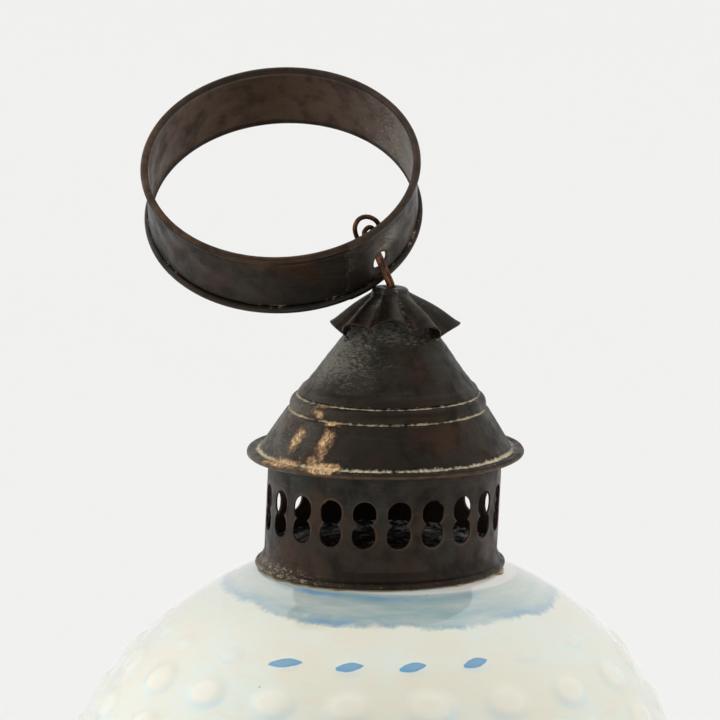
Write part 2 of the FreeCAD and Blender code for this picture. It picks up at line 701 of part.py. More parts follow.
def make_hanging_ring():
    ring = doc.addObject("PartDesign::Body", "hanging_ring")
    ring.Label = "hanging_ring"
    ring.Placement = ring_placement()
    wall_end = "(ring_roll_spacing / 2 - 0.63 * ring_roll_radius)"
    corners = [
        ("ring_radius", "-" + wall_end),
        ("ring_radius", wall_end),
        ("ring_radius - sheet_wall", wall_end),
        ("ring_radius - sheet_wall", "-" + wall_end),
    ]
    revolve(ring, "ring_band", polygon_sketch(ring, "band_outline", corners))
    for name, way in (("upper", ""), ("lower", "-")):
        height = way + "ring_roll_spacing / 2"
        add_roll(ring, name + "_roll", RING_ROLL_CIRCLE, height, "ring_roll_radius", "ring_roll_wire_radius")
    hole_radius = LINK_HALF_WIDTH + " + ring_hole_clearance"
    hole = circle_sketch(ring, "link_hole", "0", "-ring_hole_offset", [hole_radius], "YZ_Plane")
    pierce(ring, "link_hole_cut", hole, True)


def make_ring_wires():
    for name, way in (("upper", 0.5), ("lower", -0.5)):
        wire = round_wire("ring_edge_wire_" + name, RING_ROLL_CIRCLE, "ring_roll_wire_radius")
        lift = FreeCAD.Vector(0, 0, way * mm("ring_roll_spacing"))
        wire.Placement = ring_placement().multiply(FreeCAD.Placement(lift, FreeCAD.Rotation()))


# ---------------------------------------------------------------- removable base
BASE_ROLL_CIRCLE = "(collar_radius + base_overhang - base_roll_radius)"
FLANGE_INNER = "(collar_radius + flange_overhang)"
SOCKET_OUTER = "(socket_radius + socket_wall)"


def make_base_plate():
    """A raised floor with a flat foot flange round it and a rolled outer edge."""
    corners = [
        ("0", "plate_height"),
        (FLANGE_INNER + " - plate_wall", "plate_height"),
        (FLANGE_INNER + " - plate_wall", "0"),
        ("%s - %g * base_roll_radius" % (BASE_ROLL_CIRCLE, PLATE_OUTER_IN), "0"),
        ("%s - %g * base_roll_radius" % (BASE_ROLL_CIRCLE, PLATE_INNER_IN), "plate_wall"),
        (FLANGE_INNER, "plate_wall"),
        (FLANGE_INNER, "plate_height + plate_wall"),
        ("0", "plate_height + plate_wall"),
    ]
    plate = revolved_piece("base_plate", corners)
    add_roll(plate, "foot_roll", BASE_ROLL_CIRCLE, "base_roll_radius", "base_roll_radius", "base_roll_wire_radius")


def make_base_drum():
    corners = [
        (DRUM_RADIUS, "0"),
        (DRUM_RADIUS, "drum_height"),
        (DRUM_RADIUS + " - sheet_wall", "drum_height"),
        (DRUM_RADIUS + " - sheet_wall", "0"),
    ]
    revolved_piece("base_drum", corners, DRUM_FOOT_Z)


def make_candle_socket():
    """An open tube with a floor, standing on the plate; the candle's end goes down into it."""
    corners = [
        ("0", "0"),
        (SOCKET_OUTER, "0"),
        (SOCKET_OUTER, "socket_depth"),
        ("socket_radius", "socket_depth"),
        ("socket_radius", "socket_wall"),
        ("0", "socket_wall"),
    ]
    revolved_piece("candle_socket", corners, DRUM_FOOT_Z)


def make_drip_pan():
    """A shallow dish round the socket that catches wax."""
    bore = SOCKET_OUTER + " + solder_gap"
    corners = [
        (bore, "0"),
        ("drip_pan_radius - 2 * drip_pan_rise", "0"),
        ("drip_pan_radius", "drip_pan_rise"),
        ("drip_pan_radius - sheet_wall", "drip_pan_rise + sheet_wall"),
        ("drip_pan_radius - 2 * drip_pan_rise - 0.3", "sheet_wall"),
        (bore, "sheet_wall"),
    ]
    revolved_piece("drip_pan", corners, "drip_pan_height")


def make_socket_solder():
    """Solder fillets that hold the socket to the plate and the drip pan to the socket."""
    bore = SOCKET_OUTER + " + solder_gap"
    corners = [(bore, "0"), (bore + " + socket_solder_leg", "0"), (bore, "socket_solder_leg")]
    revolved_piece("socket_foot_solder", corners, DRUM_FOOT_Z)
    corners = [(bore, "0"), (bore, "-pan_solder_leg"), (bore + " + pan_solder_leg", "0")]
    revolved_piece("drip_pan_solder", corners, "drip_pan_height - solder_gap")


def make_retaining_springs():
    """Bent leaves soldered inside the drum; each swells out to bear on the collar above it."""
    wall = mm("spring_wall")
    half = mm("spring_width") / 2
    seat = math.sqrt(mm(DRUM_RADIUS + " - sheet_wall - solder_gap") ** 2 - half ** 2)
    bearing = math.sqrt((mm(COLLAR_INNER) - mm("spring_clearance")) ** 2 - half ** 2)
    rim = DRUM_FOOT_Z + " + drum_height + "
    face = [
        (seat, mm(DRUM_FOOT_Z + " + spring_foot_rise")),
        (seat, mm(rim + "spring_bend_rise")),
        (bearing, mm(rim + "spring_bearing_from")),
        (bearing, mm(rim + "spring_bearing_to")),
        (seat - mm("spring_tip_inset"), mm(rim + "spring_tip_rise")),
    ]
    back = [(radius - wall, height) for radius, height in reversed(face)]
    outline = [FreeCAD.Vector(radius, -half, height) for radius, height in face + back]
    leaf = Part.Face(Part.makePolygon(outline + [outline[0]])).extrude(FreeCAD.Vector(0, 2 * half, 0))
    leaves = []
    count = int(mm("spring_count"))
    for i in range(count):
        copy = leaf.copy()
        copy.rotate(FreeCAD.Vector(0, 0, 0), FreeCAD.Vector(0, 0, 1), 360.0 * i / count)
        leaves.append(copy)
    shaped_piece("retaining_springs", Part.makeCompound(leaves))


# ---------------------------------------------------------------- build, check and write
def build_lantern():
    make_vent_collar()
    edge_wire("collar_foot_wire", FOOT_ROLL_CIRCLE, COLLAR_FOOT_Z + " + foot_roll_rise", "roll_wire_radius")
    make_globe()
    make_cement("upper_cement", COLLAR_FOOT_Z, 1)
    make_cement("lower_cement", "base_height", -1)
    make_base_collar()
    edge_wire("base_collar_wire", FOOT_ROLL_CIRCLE, "base_height - foot_roll_rise", "roll_wire_radius")
    make_roof_skirt()
    edge_wire("eave_wire", EAVE_CIRCLE, COLLAR_FOOT_Z + " + eave_height", "roll_wire_radius")
    make_roof_cone()
    make_roof_solder()
    make_cap_solder(make_smoke_cap())
    make_link_wire()
    make_link_washer()
    make_hanging_ring()
    make_ring_wires()
    make_base_plate()
    edge_wire("base_foot_wire", BASE_ROLL_CIRCLE, "base_roll_radius", "base_roll_wire_radius")
    make_base_drum()
    make_candle_socket()
    make_drip_pan()
    make_socket_solder()
    make_retaining_springs()
    doc.recompute()


def finished_pieces():
    """Bodies, tori and set shapes: one for each sub-part."""
    kinds = ("PartDesign::Body", "Part::Torus", "Part::Feature")
    return [item for item in doc.Objects if item.TypeId in kinds]


def check_document():
    for item in doc.Objects:
        if "Invalid" in item.State or "Error" in item.State:
            raise RuntimeError("%s did not build" % item.Label)
    for piece in finished_pieces():
        if piece.Shape.isNull() or not piece.Shape.isValid() or not piece.Shape.Solids:
            raise RuntimeError("%s has no valid solid" % piece.Label)


def write_parts():
    os.makedirs("parts", exist_ok=True)
    for piece in finished_pieces():
        piece.Shape.exportStep("parts/%s.step" % piece.Label)
        print("%-24s %10.1f mm3  %d solid(s)" % (piece.Label, piece.Shape.Volume, len(piece.Shape.Solids)))


build_lantern()
check_document()
write_parts()
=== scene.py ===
"""Finished looks of a hanging candle lantern, built round its packed frame.

Metres, +Z up, in the frame's own coordinates.  Outlines are written in millimetres and scaled by MM.
Every new piece is a numpy surface; its place comes from the frame's nodes, mounts and joints.
"""

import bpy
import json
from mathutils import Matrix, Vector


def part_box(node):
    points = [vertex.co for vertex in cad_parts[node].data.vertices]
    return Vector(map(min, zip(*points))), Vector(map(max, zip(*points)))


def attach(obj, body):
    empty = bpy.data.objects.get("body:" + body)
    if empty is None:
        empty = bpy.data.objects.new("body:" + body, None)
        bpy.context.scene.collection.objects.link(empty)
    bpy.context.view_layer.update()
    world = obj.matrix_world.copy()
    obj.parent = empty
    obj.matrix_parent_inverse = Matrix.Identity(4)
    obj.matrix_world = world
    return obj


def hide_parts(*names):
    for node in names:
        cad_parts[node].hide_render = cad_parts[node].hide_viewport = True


bl_info = {
    "name": "Hanging Lantern",
    "version": (1, 0, 0),
    "blender": (4, 5, 0),
    "location": "3D View > Sidebar > Lantern",
    "description": "Builds the surfaces, finishes and studio of a hanging candle lantern",
    "category": "Object",
}

import json
import math

import bmesh
import bpy
import numpy as np
from mathutils import Matrix, Vector

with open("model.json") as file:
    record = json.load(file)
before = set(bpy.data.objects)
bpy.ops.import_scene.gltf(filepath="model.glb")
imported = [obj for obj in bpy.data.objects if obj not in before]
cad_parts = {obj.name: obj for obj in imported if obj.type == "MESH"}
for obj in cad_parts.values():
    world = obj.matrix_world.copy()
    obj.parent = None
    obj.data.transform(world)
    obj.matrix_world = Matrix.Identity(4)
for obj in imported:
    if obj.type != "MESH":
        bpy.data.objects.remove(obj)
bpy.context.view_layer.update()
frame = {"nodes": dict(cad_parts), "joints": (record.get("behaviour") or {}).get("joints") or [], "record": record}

MM = 0.001
TURN = 2 * math.pi


# ---------------------------------------------------------------- places, read from the frame
def middle_height(node):
    """Height of the middle of a node's box."""
    low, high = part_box(node)
    return (low.z + high.z) / 2


def half_width(node):
    """Half of a node's box from side to side."""
    low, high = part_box(node)
    return (high.x - low.x) / 2


def unit(vector):
    """The same direction with a length of 1."""
    return np.array(vector, float) / np.linalg.norm(vector)


JOINTS = {joint["name"]: joint for joint in frame["joints"]}
MOUNTS = {mount["name"]: mount for mount in frame["record"]["mounts"]}

FOOT_ROLL_RISE = 0.9 * MM
FOOT_HEIGHT = middle_height("collar_foot_wire") - FOOT_ROLL_RISE
FOOT_RADIUS = half_width("collar_foot_wire") - 0.5 * MM
CONE_FOOT = np.array([half_width("roof_cone"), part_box("roof_cone")[0].z])
CONE_TOP_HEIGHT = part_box("roof_cone")[1].z
CROWN_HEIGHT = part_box("smoke_cap")[1].z
GLOBE_MIDDLE = middle_height("globe")
HOB_PEAK_RADIUS = half_width("globe")

RING_CENTRE = np.array(MOUNTS["hanging_ring_hold"]["pos_m"], float)
RING_AXIS = unit(MOUNTS["hanging_ring_hold"]["axis"])
LINK_HOLE = np.array(JOINTS["ring_tilt"]["pos_m"], float)
HINGE = unit(JOINTS["ring_tilt"]["axis"])
TO_HOLE = LINK_HOLE - RING_CENTRE
HOLE_OFFSET = float(TO_HOLE @ RING_AXIS)
RING_OUTWARD = unit(TO_HOLE - HOLE_OFFSET * RING_AXIS)
RING_ALONG = np.cross(RING_AXIS, RING_OUTWARD)


# ---------------------------------------------------------------- outlines and surfaces
def arc(centre, radius, start, stop, steps=14):
    """Points centre + radius * (cos a, sin a), with a running from start to stop in degrees."""
    angles = np.radians(np.linspace(start, stop, steps))
    return np.array(centre) + radius * np.stack([np.cos(angles), np.sin(angles)], axis=1)


def rounded(corners, steps=5):
    """An open outline whose inner corners are eased.

    Each corner is (across, up, reach).  It becomes the parabola that leaves its two sides at reach from
    the corner: (1-t)^2 a + 2t(1-t) corner + t^2 b.
    """
    corners = np.array(corners, float)
    place, reach = corners[:, :2], corners[1:-1, 2:]
    before, after = place[:-2] - place[1:-1], place[2:] - place[1:-1]
    leave = np.linalg.norm(before, axis=1, keepdims=True)
    arrive = np.linalg.norm(after, axis=1, keepdims=True)
    start = place[1:-1] + before / leave * np.minimum(reach, 0.45 * leave)
    stop = place[1:-1] + after / arrive * np.minimum(reach, 0.45 * arrive)
    part = np.linspace(0, 1, steps)[None, :, None]
    pull = 2 * part * (1 - part) * place[1:-1, None]
    curve = (1 - part) ** 2 * start[:, None] + pull + part ** 2 * stop[:, None]
    return np.vstack([place[:1], curve.reshape(-1, 2), place[-1:]])


def evened(outline, step):
    """The same outline with more points, so that none are further apart than step."""
    length = np.r_[0, np.cumsum(np.linalg.norm(np.diff(outline, axis=0), axis=1))]
    stations = np.unique(np.r_[length, np.arange(0, length[-1], step)].round(9))
    return np.stack([np.interp(stations, length, outline[:, k]) for k in (0, 1)], axis=1)


def sheet_outline(outer, inward, step):
    """A closed outline of thin sheet: the outer line, then the same line moved by inward, backwards."""
    line = evened(outer, step)
    return np.vstack([line, line[::-1] + np.array(inward)])


def anticlockwise(outline):
    """The outline, turned round where its area, by the shoelace formula, comes out negative."""
    across, up = outline[:, 0], outline[:, 1]
    area = np.sum(across * np.roll(up, -1) - up * np.roll(across, -1))
    return outline if area > 0 else outline[::-1]


def closed_grid(rows, columns):
    """Quads of a grid that joins up both ways; corner numbers run along each row."""
    row, column = np.meshgrid(np.arange(rows), np.arange(columns), indexing="ij")
    next_row, next_column = (row + 1) % rows, (column + 1) % columns
    corners = [(row, column), (row, next_column), (next_row, next_column), (next_row, column)]
    return np.stack([(r * columns + c).ravel() for r, c in corners], axis=1)


def tube_grid(rows, columns):
    """Quads of a grid that joins up along its rows only, as round a tube."""
    quads = closed_grid(rows, columns)
    return quads[: (rows - 1) * columns]


def ripple(angle, seed, orders, size):
    """A smooth random wave round a turn: size times the mean of cos(k * angle + phase) over orders."""
    phases = np.random.default_rng(seed).uniform(0, TURN, len(orders))
    waves = [np.cos(order * angle + phase) for order, phase in zip(orders, phases)]
    return size * np.sum(waves, axis=0) / math.sqrt(len(orders))


def smooth_step(low, high, value):
    """0 below low and 1 above high, with 3t^2 - 2t^3 between them."""
    part = np.clip((value - low) / (high - low), 0, 1)
    return part * part * (3 - 2 * part)


def bump(value, centre, width):
    """exp(-((value - centre) / width)^2)"""
    return np.exp(-(((value - centre) / width) ** 2))


def angle_gap(angle, centre_degrees):
    """The signed difference of an angle from a heading, in degrees from -180 to 180."""
    return (np.degrees(angle) - centre_degrees + 180) % 360 - 180


def store_field(mesh, name, values):
    """Keep a number at each point of the mesh, for its finish to read."""
    attribute = mesh.attributes.new(name, "FLOAT", "POINT")
    attribute.data.foreach_set("value", np.ascontiguousarray(values, np.float32).ravel())


def shown(name, mesh, body, slot, nodes, finish=None):
    """An object of a mesh that rides on a body and stands for some of the frame's nodes."""
    mesh.materials.append(bpy.data.materials[finish_name(finish or slot)])
    piece = bpy.data.objects.new(name + "_shown", mesh)
    bpy.context.scene.collection.objects.link(piece)
    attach(piece, body)
    if nodes:
        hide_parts(*nodes)
    return piece


def new_piece(name, points, quads, body, slot, nodes, fields=None, sharp=None):
    """A piece with a smooth mesh of its own, from points and quads."""
    mesh = bpy.data.meshes.new(name)
    mesh.vertices.add(len(points))
    mesh.vertices.foreach_set("co", np.ascontiguousarray(points, np.float32).ravel())
    mesh.loops.add(quads.size)
    mesh.loops.foreach_set("vertex_index", quads.astype(np.int32).ravel())
    mesh.polygons.add(len(quads))
    mesh.polygons.foreach_set("loop_start", np.arange(0, quads.size, 4, dtype=np.int32))
    mesh.update(calc_edges=True)
    for field, values in (fields or {}).items():
        store_field(mesh, field, values)
    mesh.shade_smooth()
    if sharp:
        mesh.set_sharp_from_angle(angle=math.radians(sharp))
    return shown(name, mesh, body, slot, nodes)


def weld(piece):
    """Join the points that lie on each other, as at a pole, and point every face outwards."""
    shape = bmesh.new()
    shape.from_mesh(piece.data)
    bmesh.ops.remove_doubles(shape, verts=shape.verts, dist=1e-6)
    bmesh.ops.dissolve_degenerate(shape, edges=shape.edges, dist=1e-7)
    bmesh.ops.recalc_face_normals(shape, faces=shape.faces)
    shape.to_mesh(piece.data)
    shape.free()


def turned(outline, columns):
    """A closed outline carried once round Z: (r, z) becomes (r cos a, r sin a, z).

    Returns radius, height and angle as arrays of rows (round the outline) by columns (round the axis).
    """
    outline = anticlockwise(outline)
    angle = np.linspace(0, TURN, columns, endpoint=False)
    radius = np.repeat(outline[:, :1], columns, axis=1)
    height = np.repeat(outline[:, 1:], columns, axis=1)
    return radius, height, np.repeat(angle[None], len(outline), axis=0)


def around_axis(radius, height, angle):
    """Points (r cos a, r sin a, z), one row for each."""
    return np.stack([radius * np.cos(angle), radius * np.sin(angle), height], axis=2).reshape(-1, 3)


def settled(points):
    """The upper metalwork sits a little crooked on the globe, and the roof a little off its collar.

    Heights gain seat_slope * x, all of it from the foot of the collar up and none at the globe's middle.
    Sideways the pieces move from foot_shift at the collar's foot to roof_shift at the cone's top.
    """
    seat_slope, foot_shift, roof_shift = 0.031, -0.6 * MM, 1.0 * MM
    points = np.array(points, float)
    height = points[:, 2].copy()
    points[:, 2] += seat_slope * points[:, 0] * smooth_step(GLOBE_MIDDLE + 0.02, FOOT_HEIGHT - 0.006, height)
    rise = np.clip((height - FOOT_HEIGHT) / (CONE_TOP_HEIGHT - FOOT_HEIGHT), 0, 1)
    on_metal = smooth_step(FOOT_HEIGHT - 0.04, FOOT_HEIGHT - 0.002, height)
    points[:, 0] += on_metal * (foot_shift + (roof_shift - foot_shift) * rise)
    return points


def in_ring_frame(radius, across, angle):
    """Points of the hanging ring: radius round its axis from the hole, across along its axis."""
    out = (radius * np.cos(angle))[..., None] * RING_OUTWARD
    along = (radius * np.sin(angle))[..., None] * RING_ALONG
    return (RING_CENTRE + out + along + across[..., None] * RING_AXIS).reshape(-1, 3)


def spline(points, steps):
    """A Catmull-Rom curve through the points, doubled at each end: cubic in t between neighbours."""
    points = np.vstack([2 * points[0] - points[1], points, 2 * points[-1] - points[-2]])
    a, b, c, d = points[:-3, None], points[1:-2, None], points[2:-1, None], points[3:, None]
    part = np.linspace(0, 1, steps, endpoint=False)[None, :, None]
    bend, twist = 2 * a - 5 * b + 4 * c - d, 3 * b - a - 3 * c + d
    curve = 0.5 * (2 * b + (c - a) * part + bend * part ** 2 + twist * part ** 3)
    return np.vstack([curve.reshape(-1, 3), points[-2:-1]])


def tube_points(path, radius, reference, sides):
    """A round wire along a path whose turns all lie near one plane; reference is that plane's normal."""
    tangent = np.gradient(path, axis=0)
    tangent /= np.linalg.norm(tangent, axis=1, keepdims=True)
    side = np.cross(tangent, reference)
    side /= np.linalg.norm(side, axis=1, keepdims=True)
    lift = np.cross(side, tangent)
    angle = np.linspace(0, TURN, sides, endpoint=False)
    ring = np.cos(angle)[None, :, None] * side[:, None] + np.sin(angle)[None, :, None] * lift[:, None]
    points = path[:, None] + radius * ring
    return np.concatenate([path[:1, None].repeat(sides, 1), points, path[-1:, None].repeat(sides, 1)])


def listed(items, name, width=1, kind=np.float32):
    """One property of a mesh's points, faces or corners, with a row for each item."""
    numbers = np.empty(len(items) * width, kind)
    items.foreach_get(name, numbers)
    return numbers.reshape(-1, width) if width > 1 else numbers


def round_walls(mesh):
    """Shade upright walls as true cylinders: each corner's normal is its own direction from the axis."""
    nearly_level = 0.97
    normals = listed(mesh.corner_normals, "vector", 3)
    outward = listed(mesh.vertices, "co", 3)[listed(mesh.loops, "vertex_index", kind=np.int32)] * [1, 1, 0]
    outward /= np.linalg.norm(outward, axis=1, keepdims=True)
    corner_counts = listed(mesh.polygons, "loop_total", kind=np.int32)
    faces = listed(mesh.polygons, "normal", 3).repeat(corner_counts, axis=0)
    facing = (faces * outward).sum(axis=1)
    upright = np.abs(facing) > nearly_level
    normals[upright] = np.sign(facing[upright])[:, None] * outward[upright]
    mesh.normals_split_custom_set(normals.tolist())


def copied_node(node, body, slot, fields=None, sharp=40, finish=None):
    """A piece made from a frame node's own mesh: merged, then settled with the rest of the metalwork.

    fields maps an attribute's name to a function of the merged points before they are settled.
    """
    shape = bmesh.new()
    shape.from_mesh(frame["nodes"][node].data)
    bmesh.ops.remove_doubles(shape, verts=shape.verts, dist=2e-6)
    mesh = bpy.data.meshes.new(node)
    shape.to_mesh(mesh)
    shape.free()
    points = listed(mesh.vertices, "co", 3).astype(float)
    for name, measure in (fields or {}).items():
        store_field(mesh, name, measure(points))
    mesh.vertices.foreach_set("co", settled(points).astype(np.float32).ravel())
    mesh.update()
    mesh.shade_smooth()
    mesh.set_sharp_from_angle(angle=math.radians(sharp))
    if finish:
        round_walls(mesh)
    mesh.materials.clear()
    shown(node, mesh, body, slot, [node], finish)


# ---------------------------------------------------------------- finishes
def finish_name(slot):
    """Name of the material that a slot shows."""
    return slot + "_finish"


def smooth_range(tree, low, high, bottom, top):
    """A node that goes smoothly from bottom at low to top at high."""
    node = tree.nodes.new("ShaderNodeMapRange")
    node.interpolation_type = "SMOOTHSTEP"
    for name, number in (("From Min", low), ("From Max", high), ("To Min", bottom), ("To Max", top)):
        node.inputs[name].default_value = number
    return node


class Nodes:
    """Adds the nodes of one material; any input takes a socket, a number or a colour."""

    def __init__(self, slot):
        self.material = bpy.data.materials.new(finish_name(slot))
        self.material.use_nodes = True
        self.tree = self.material.node_tree
        self.shader = self.tree.nodes["Principled BSDF"]
        place = self.tree.nodes.new("ShaderNodeTexCoord")
        self.place = place.outputs["Object"]
        split = self.tree.nodes.new("ShaderNodeSeparateXYZ")
        self.tree.links.new(self.place, split.inputs[0])
        self.x, self.y, self.z = split.outputs

    def feed(self, socket, value):
        """Link a socket to another one, or set it to a number or an opaque colour."""
        if isinstance(value, bpy.types.NodeSocket):
            self.tree.links.new(value, socket)
        elif hasattr(value, "__len__"):
            socket.default_value = (*value, 1.0)
        else:
            socket.default_value = value

    def maths(self, operation, first, second=0.0, clamp=False):
        """One calculation; with clamp, its result is kept between 0 and 1."""
        node = self.tree.nodes.new("ShaderNodeMath")
        node.operation = operation
        node.use_clamp = clamp
        self.feed(node.inputs[0], first)
        self.feed(node.inputs[1], second)
        return node.outputs[0]

    def times(self, first, second):
        return self.maths("MULTIPLY", first, second, clamp=True)

    def add(self, first, second):
        return self.maths("ADD", first, second, clamp=True)

    def noise(self, scale, detail=4.0, roughness=0.55, stretch=None, distortion=0.0):
        """Cloudy noise in the piece's own metres; stretch multiplies its scale along X, Y and Z."""
        node = self.tree.nodes.new("ShaderNodeTexNoise")
        numbers = {"Scale": scale, "Detail": detail, "Roughness": roughness, "Distortion": distortion}
        for name, number in numbers.items():
            self.feed(node.inputs[name], number)
        place = self.place
        if stretch:
            mapping = self.tree.nodes.new("ShaderNodeMapping")
            self.tree.links.new(place, mapping.inputs["Vector"])
            mapping.inputs["Scale"].default_value = stretch
            place = mapping.outputs[0]
        self.tree.links.new(place, node.inputs["Vector"])
        return node.outputs["Fac"]

    def cells(self, scale):
        """Distance to the nearest of many scattered points."""
        node = self.tree.nodes.new("ShaderNodeTexVoronoi")
        self.feed(node.inputs["Scale"], scale)
        self.tree.links.new(self.place, node.inputs["Vector"])
        return node.outputs["Distance"]

    def field(self, name):
        """A number kept at the mesh's points."""
        node = self.tree.nodes.new("ShaderNodeAttribute")
        node.attribute_name = name
        return node.outputs["Fac"]

    def window(self, value, low, high, bottom=0.0, top=1.0):
        """Smoothly from bottom at low to top at high."""
        node = smooth_range(self.tree, low, high, bottom, top)
        self.feed(node.inputs["Value"], value)
        return node.outputs["Result"]

    def raised(self, base, extra, weight):
        """base + weight * extra"""
        return self.maths("ADD", base, self.maths("MULTIPLY", extra, weight))

    def paint(self, colour, share, strength, over):
        """Lay another colour over this one, by share * strength."""
        return self.mix(self.times(share, strength), colour, over)

    def mix(self, share, first, second):
        """The first colour where share is 0, the second where it is 1."""
        node = self.tree.nodes.new("ShaderNodeMix")
        node.data_type = "RGBA"
        self.feed(node.inputs["Factor"], share)
        self.feed(node.inputs[6], first)
        self.feed(node.inputs[7], second)
        return node.outputs[2]

    def dent(self, height, distance, strength=1.0, normal=None):
        """The surface's normal, bent as if it rose by height times distance."""
        node = self.tree.nodes.new("ShaderNodeBump")
        self.feed(node.inputs["Height"], height)
        node.inputs["Distance"].default_value = distance
        node.inputs["Strength"].default_value = strength
        if normal is not None:
            self.tree.links.new(normal, node.inputs["Normal"])
        return node.outputs["Normal"]

    def finish(self, **inputs):
        """Feed the main shader; an underscore in a name stands for a space."""
        for name, value in inputs.items():
            self.feed(self.shader.inputs[name.replace("_", " ")], value)
        return self.material


def vent_rim_highlight(made, collar):
    """1 on the rim of each punched vent, where a highlight of its bevelled edge is painted, from the distance to
    the nearer of its two round lobes.
    """
    pitch = TURN / collar.vents
    heading = made.maths("ARCTAN2", made.y, made.x)
    turns = made.maths("DIVIDE", made.maths("SUBTRACT", heading, collar.vent_turn), pitch)
    off_middle = made.maths("SUBTRACT", turns, made.maths("ROUND", turns))
    across = made.maths("MULTIPLY", off_middle, pitch * FOOT_RADIUS)
    lobe = made.maths("ABSOLUTE", made.maths("SUBTRACT", made.z, FOOT_HEIGHT + collar.vent_height))
    up = made.maths("SUBTRACT", lobe, collar.lobe_spacing / 2)
    square = made.maths("ADD", made.maths("MULTIPLY", across, across), made.maths("MULTIPLY", up, up))
    gap = made.maths("SUBTRACT", made.maths("SQRT", square), collar.lobe_radius)
    return made.window(made.maths("ABSOLUTE", gap), 0.75 * MM, 0.2 * MM)


def copper_finish(look, slot="copper", collar=None):
    """Dark brown patina, greyer and redder in patches, with pale dirt, tan smears, worn edges and, in the worn
    colour, painted highlights on the cap's folds and the vents' rims.
    """
    made = Nodes(slot)
    broad = made.window(made.noise(28, 5), 0.38, 0.62)
    cloudy = made.noise(140, 6, 0.6)
    fine = made.noise(900, 5, 0.6)
    turning = made.noise(260, 5, 0.65, stretch=(0.25, 0.25, 3.2))
    colour = made.mix(broad, look.brown, look.grey)
    red = made.window(made.noise(38, 4, distortion=0.6), 0.48, 0.7)
    colour = made.paint(colour, red, 0.7, look.red)
    inside_share = made.window(cloudy, 0.3, 0.6, 0.5, 0.95)
    colour = made.paint(colour, made.field("inside"), inside_share, look.inside_red)
    colour = made.paint(colour, made.window(turning, 0.55, 0.8), 0.35, look.grey_light)
    colour = made.paint(colour, made.window(cloudy, 0.44, 0.74), 0.6, look.black)
    # This field and colour hold real wear, and also painted highlights on the cap's folds and the vents' rims.
    wear_and_highlight_share = made.window(made.noise(300, 5, 0.6), 0.36, 0.6, 0.35, 1.0)
    colour = made.paint(colour, made.field("wear_and_highlight"), wear_and_highlight_share, look.wear_and_highlight)
    flecks = made.noise(760, 9, 0.86, stretch=(0.7, 0.7, 1.7))
    dust = made.window(made.raised(flecks, made.field("dust"), 0.24), 0.6, 0.84)
    colour = made.paint(colour, made.field("dust"), 0.10, look.dust)
    colour = made.paint(colour, dust, 0.6, look.dust)
    dirt = made.window(made.raised(made.field("dirt"), made.noise(520, 7, 0.72), 1.9), 1.38, 1.86)
    dirt_colour = made.mix(made.window(fine, 0.3, 0.56), look.dirt_green, look.dirt_cream)
    colour = made.paint(colour, dirt, 0.9, dirt_colour)
    crust_level = made.raised(made.field("smear"), made.noise(230, 8, 0.75, stretch=(1, 1, 0.7)), 2.2)
    crust = made.window(crust_level, 1.5, 2.05)
    pale_grain = made.window(made.noise(900, 8, 0.85), 0.38, 0.62)
    thick = made.window(crust_level, 1.7, 2.2)
    crust_colour = made.mix(made.times(pale_grain, thick), look.tan, look.tan_cream)
    colour = made.paint(colour, crust, made.window(fine, 0.38, 0.56, 0.35, 1.0), crust_colour)
    specks = made.window(made.raised(made.noise(1300, 5, 0.7), made.field("specks"), 0.45), 0.87, 0.96)
    colour = made.paint(colour, specks, 0.85, look.fleck)
    if collar:
        # The vents' rims are lightened in the worn colour: a painted highlight of their bevelled edges.
        rim_highlight_share = made.window(cloudy, 0.3, 0.6, 0.1, 0.55)
        colour = made.paint(colour, vent_rim_highlight(made, collar), rim_highlight_share, look.wear_and_highlight)
        low = made.window(made.z, FOOT_HEIGHT + 7 * MM, FOOT_HEIGHT + 1.5 * MM)
        left_side = made.window(made.x, 0.0, -0.036, 0.25, 1.0)
        sides = made.add(left_side, made.window(made.x, 0.022, 0.04, 0.0, 0.5))
        foot_level = made.raised(flecks, made.times(low, sides), 0.2)
        foot_dust = made.times(made.window(foot_level, 0.69, 0.84), low)
        colour = made.paint(colour, foot_dust, 0.75, look.dirt_cream)
    caked = made.add(dirt, crust)
    gloss = made.window(cloudy, 0.3, 0.7, look.rough_low, look.rough_high)
    rough = made.add(gloss, made.maths("MULTIPLY", made.add(caked, made.times(dust, 0.6)), 0.4))
    pale = made.add(caked, made.add(specks, made.times(dust, 0.7)))
    metal = made.window(pale, 0.0, 0.6, look.metallic, 0.0)
    relief = made.raised(made.raised(cloudy, fine, 0.35), turning, 0.25)
    normal = made.dent(relief, 0.0004, 0.55)
    normal = made.dent(caked, 0.00035, 0.8, normal)
    return made.finish(Base_Color=colour, Roughness=rough, Metallic=metal, Normal=normal)


def stained_metal(slot, patch, colours, grain, depth, rough, metallic, stops=None):
    """Small metal parts: two colours in noise patches, fine grain, and roughness that follows the patches.

    patch is the noise (scale, detail, roughness) and the window's two ends.
    grain is the fine noise (scale, detail) and the strength of its relief.
    stops, where given, are dark spots that set the roughness instead.
    """
    made = Nodes(slot)
    scale, detail, roughness, low, high = patch
    stain = made.window(made.noise(scale, detail, roughness), low, high)
    colour = made.mix(stain, *colours)
    if stops:
        stain = made.window(made.noise(1300, 4), 0.58, 0.7)
        colour = made.paint(colour, stain, 0.6, stops)
    normal = made.dent(made.noise(*grain[:2]), depth, grain[2])
    rough = made.window(stain, 0, 1, *rough)
    return made.finish(Base_Color=colour, Roughness=rough, Metallic=metallic, Normal=normal)


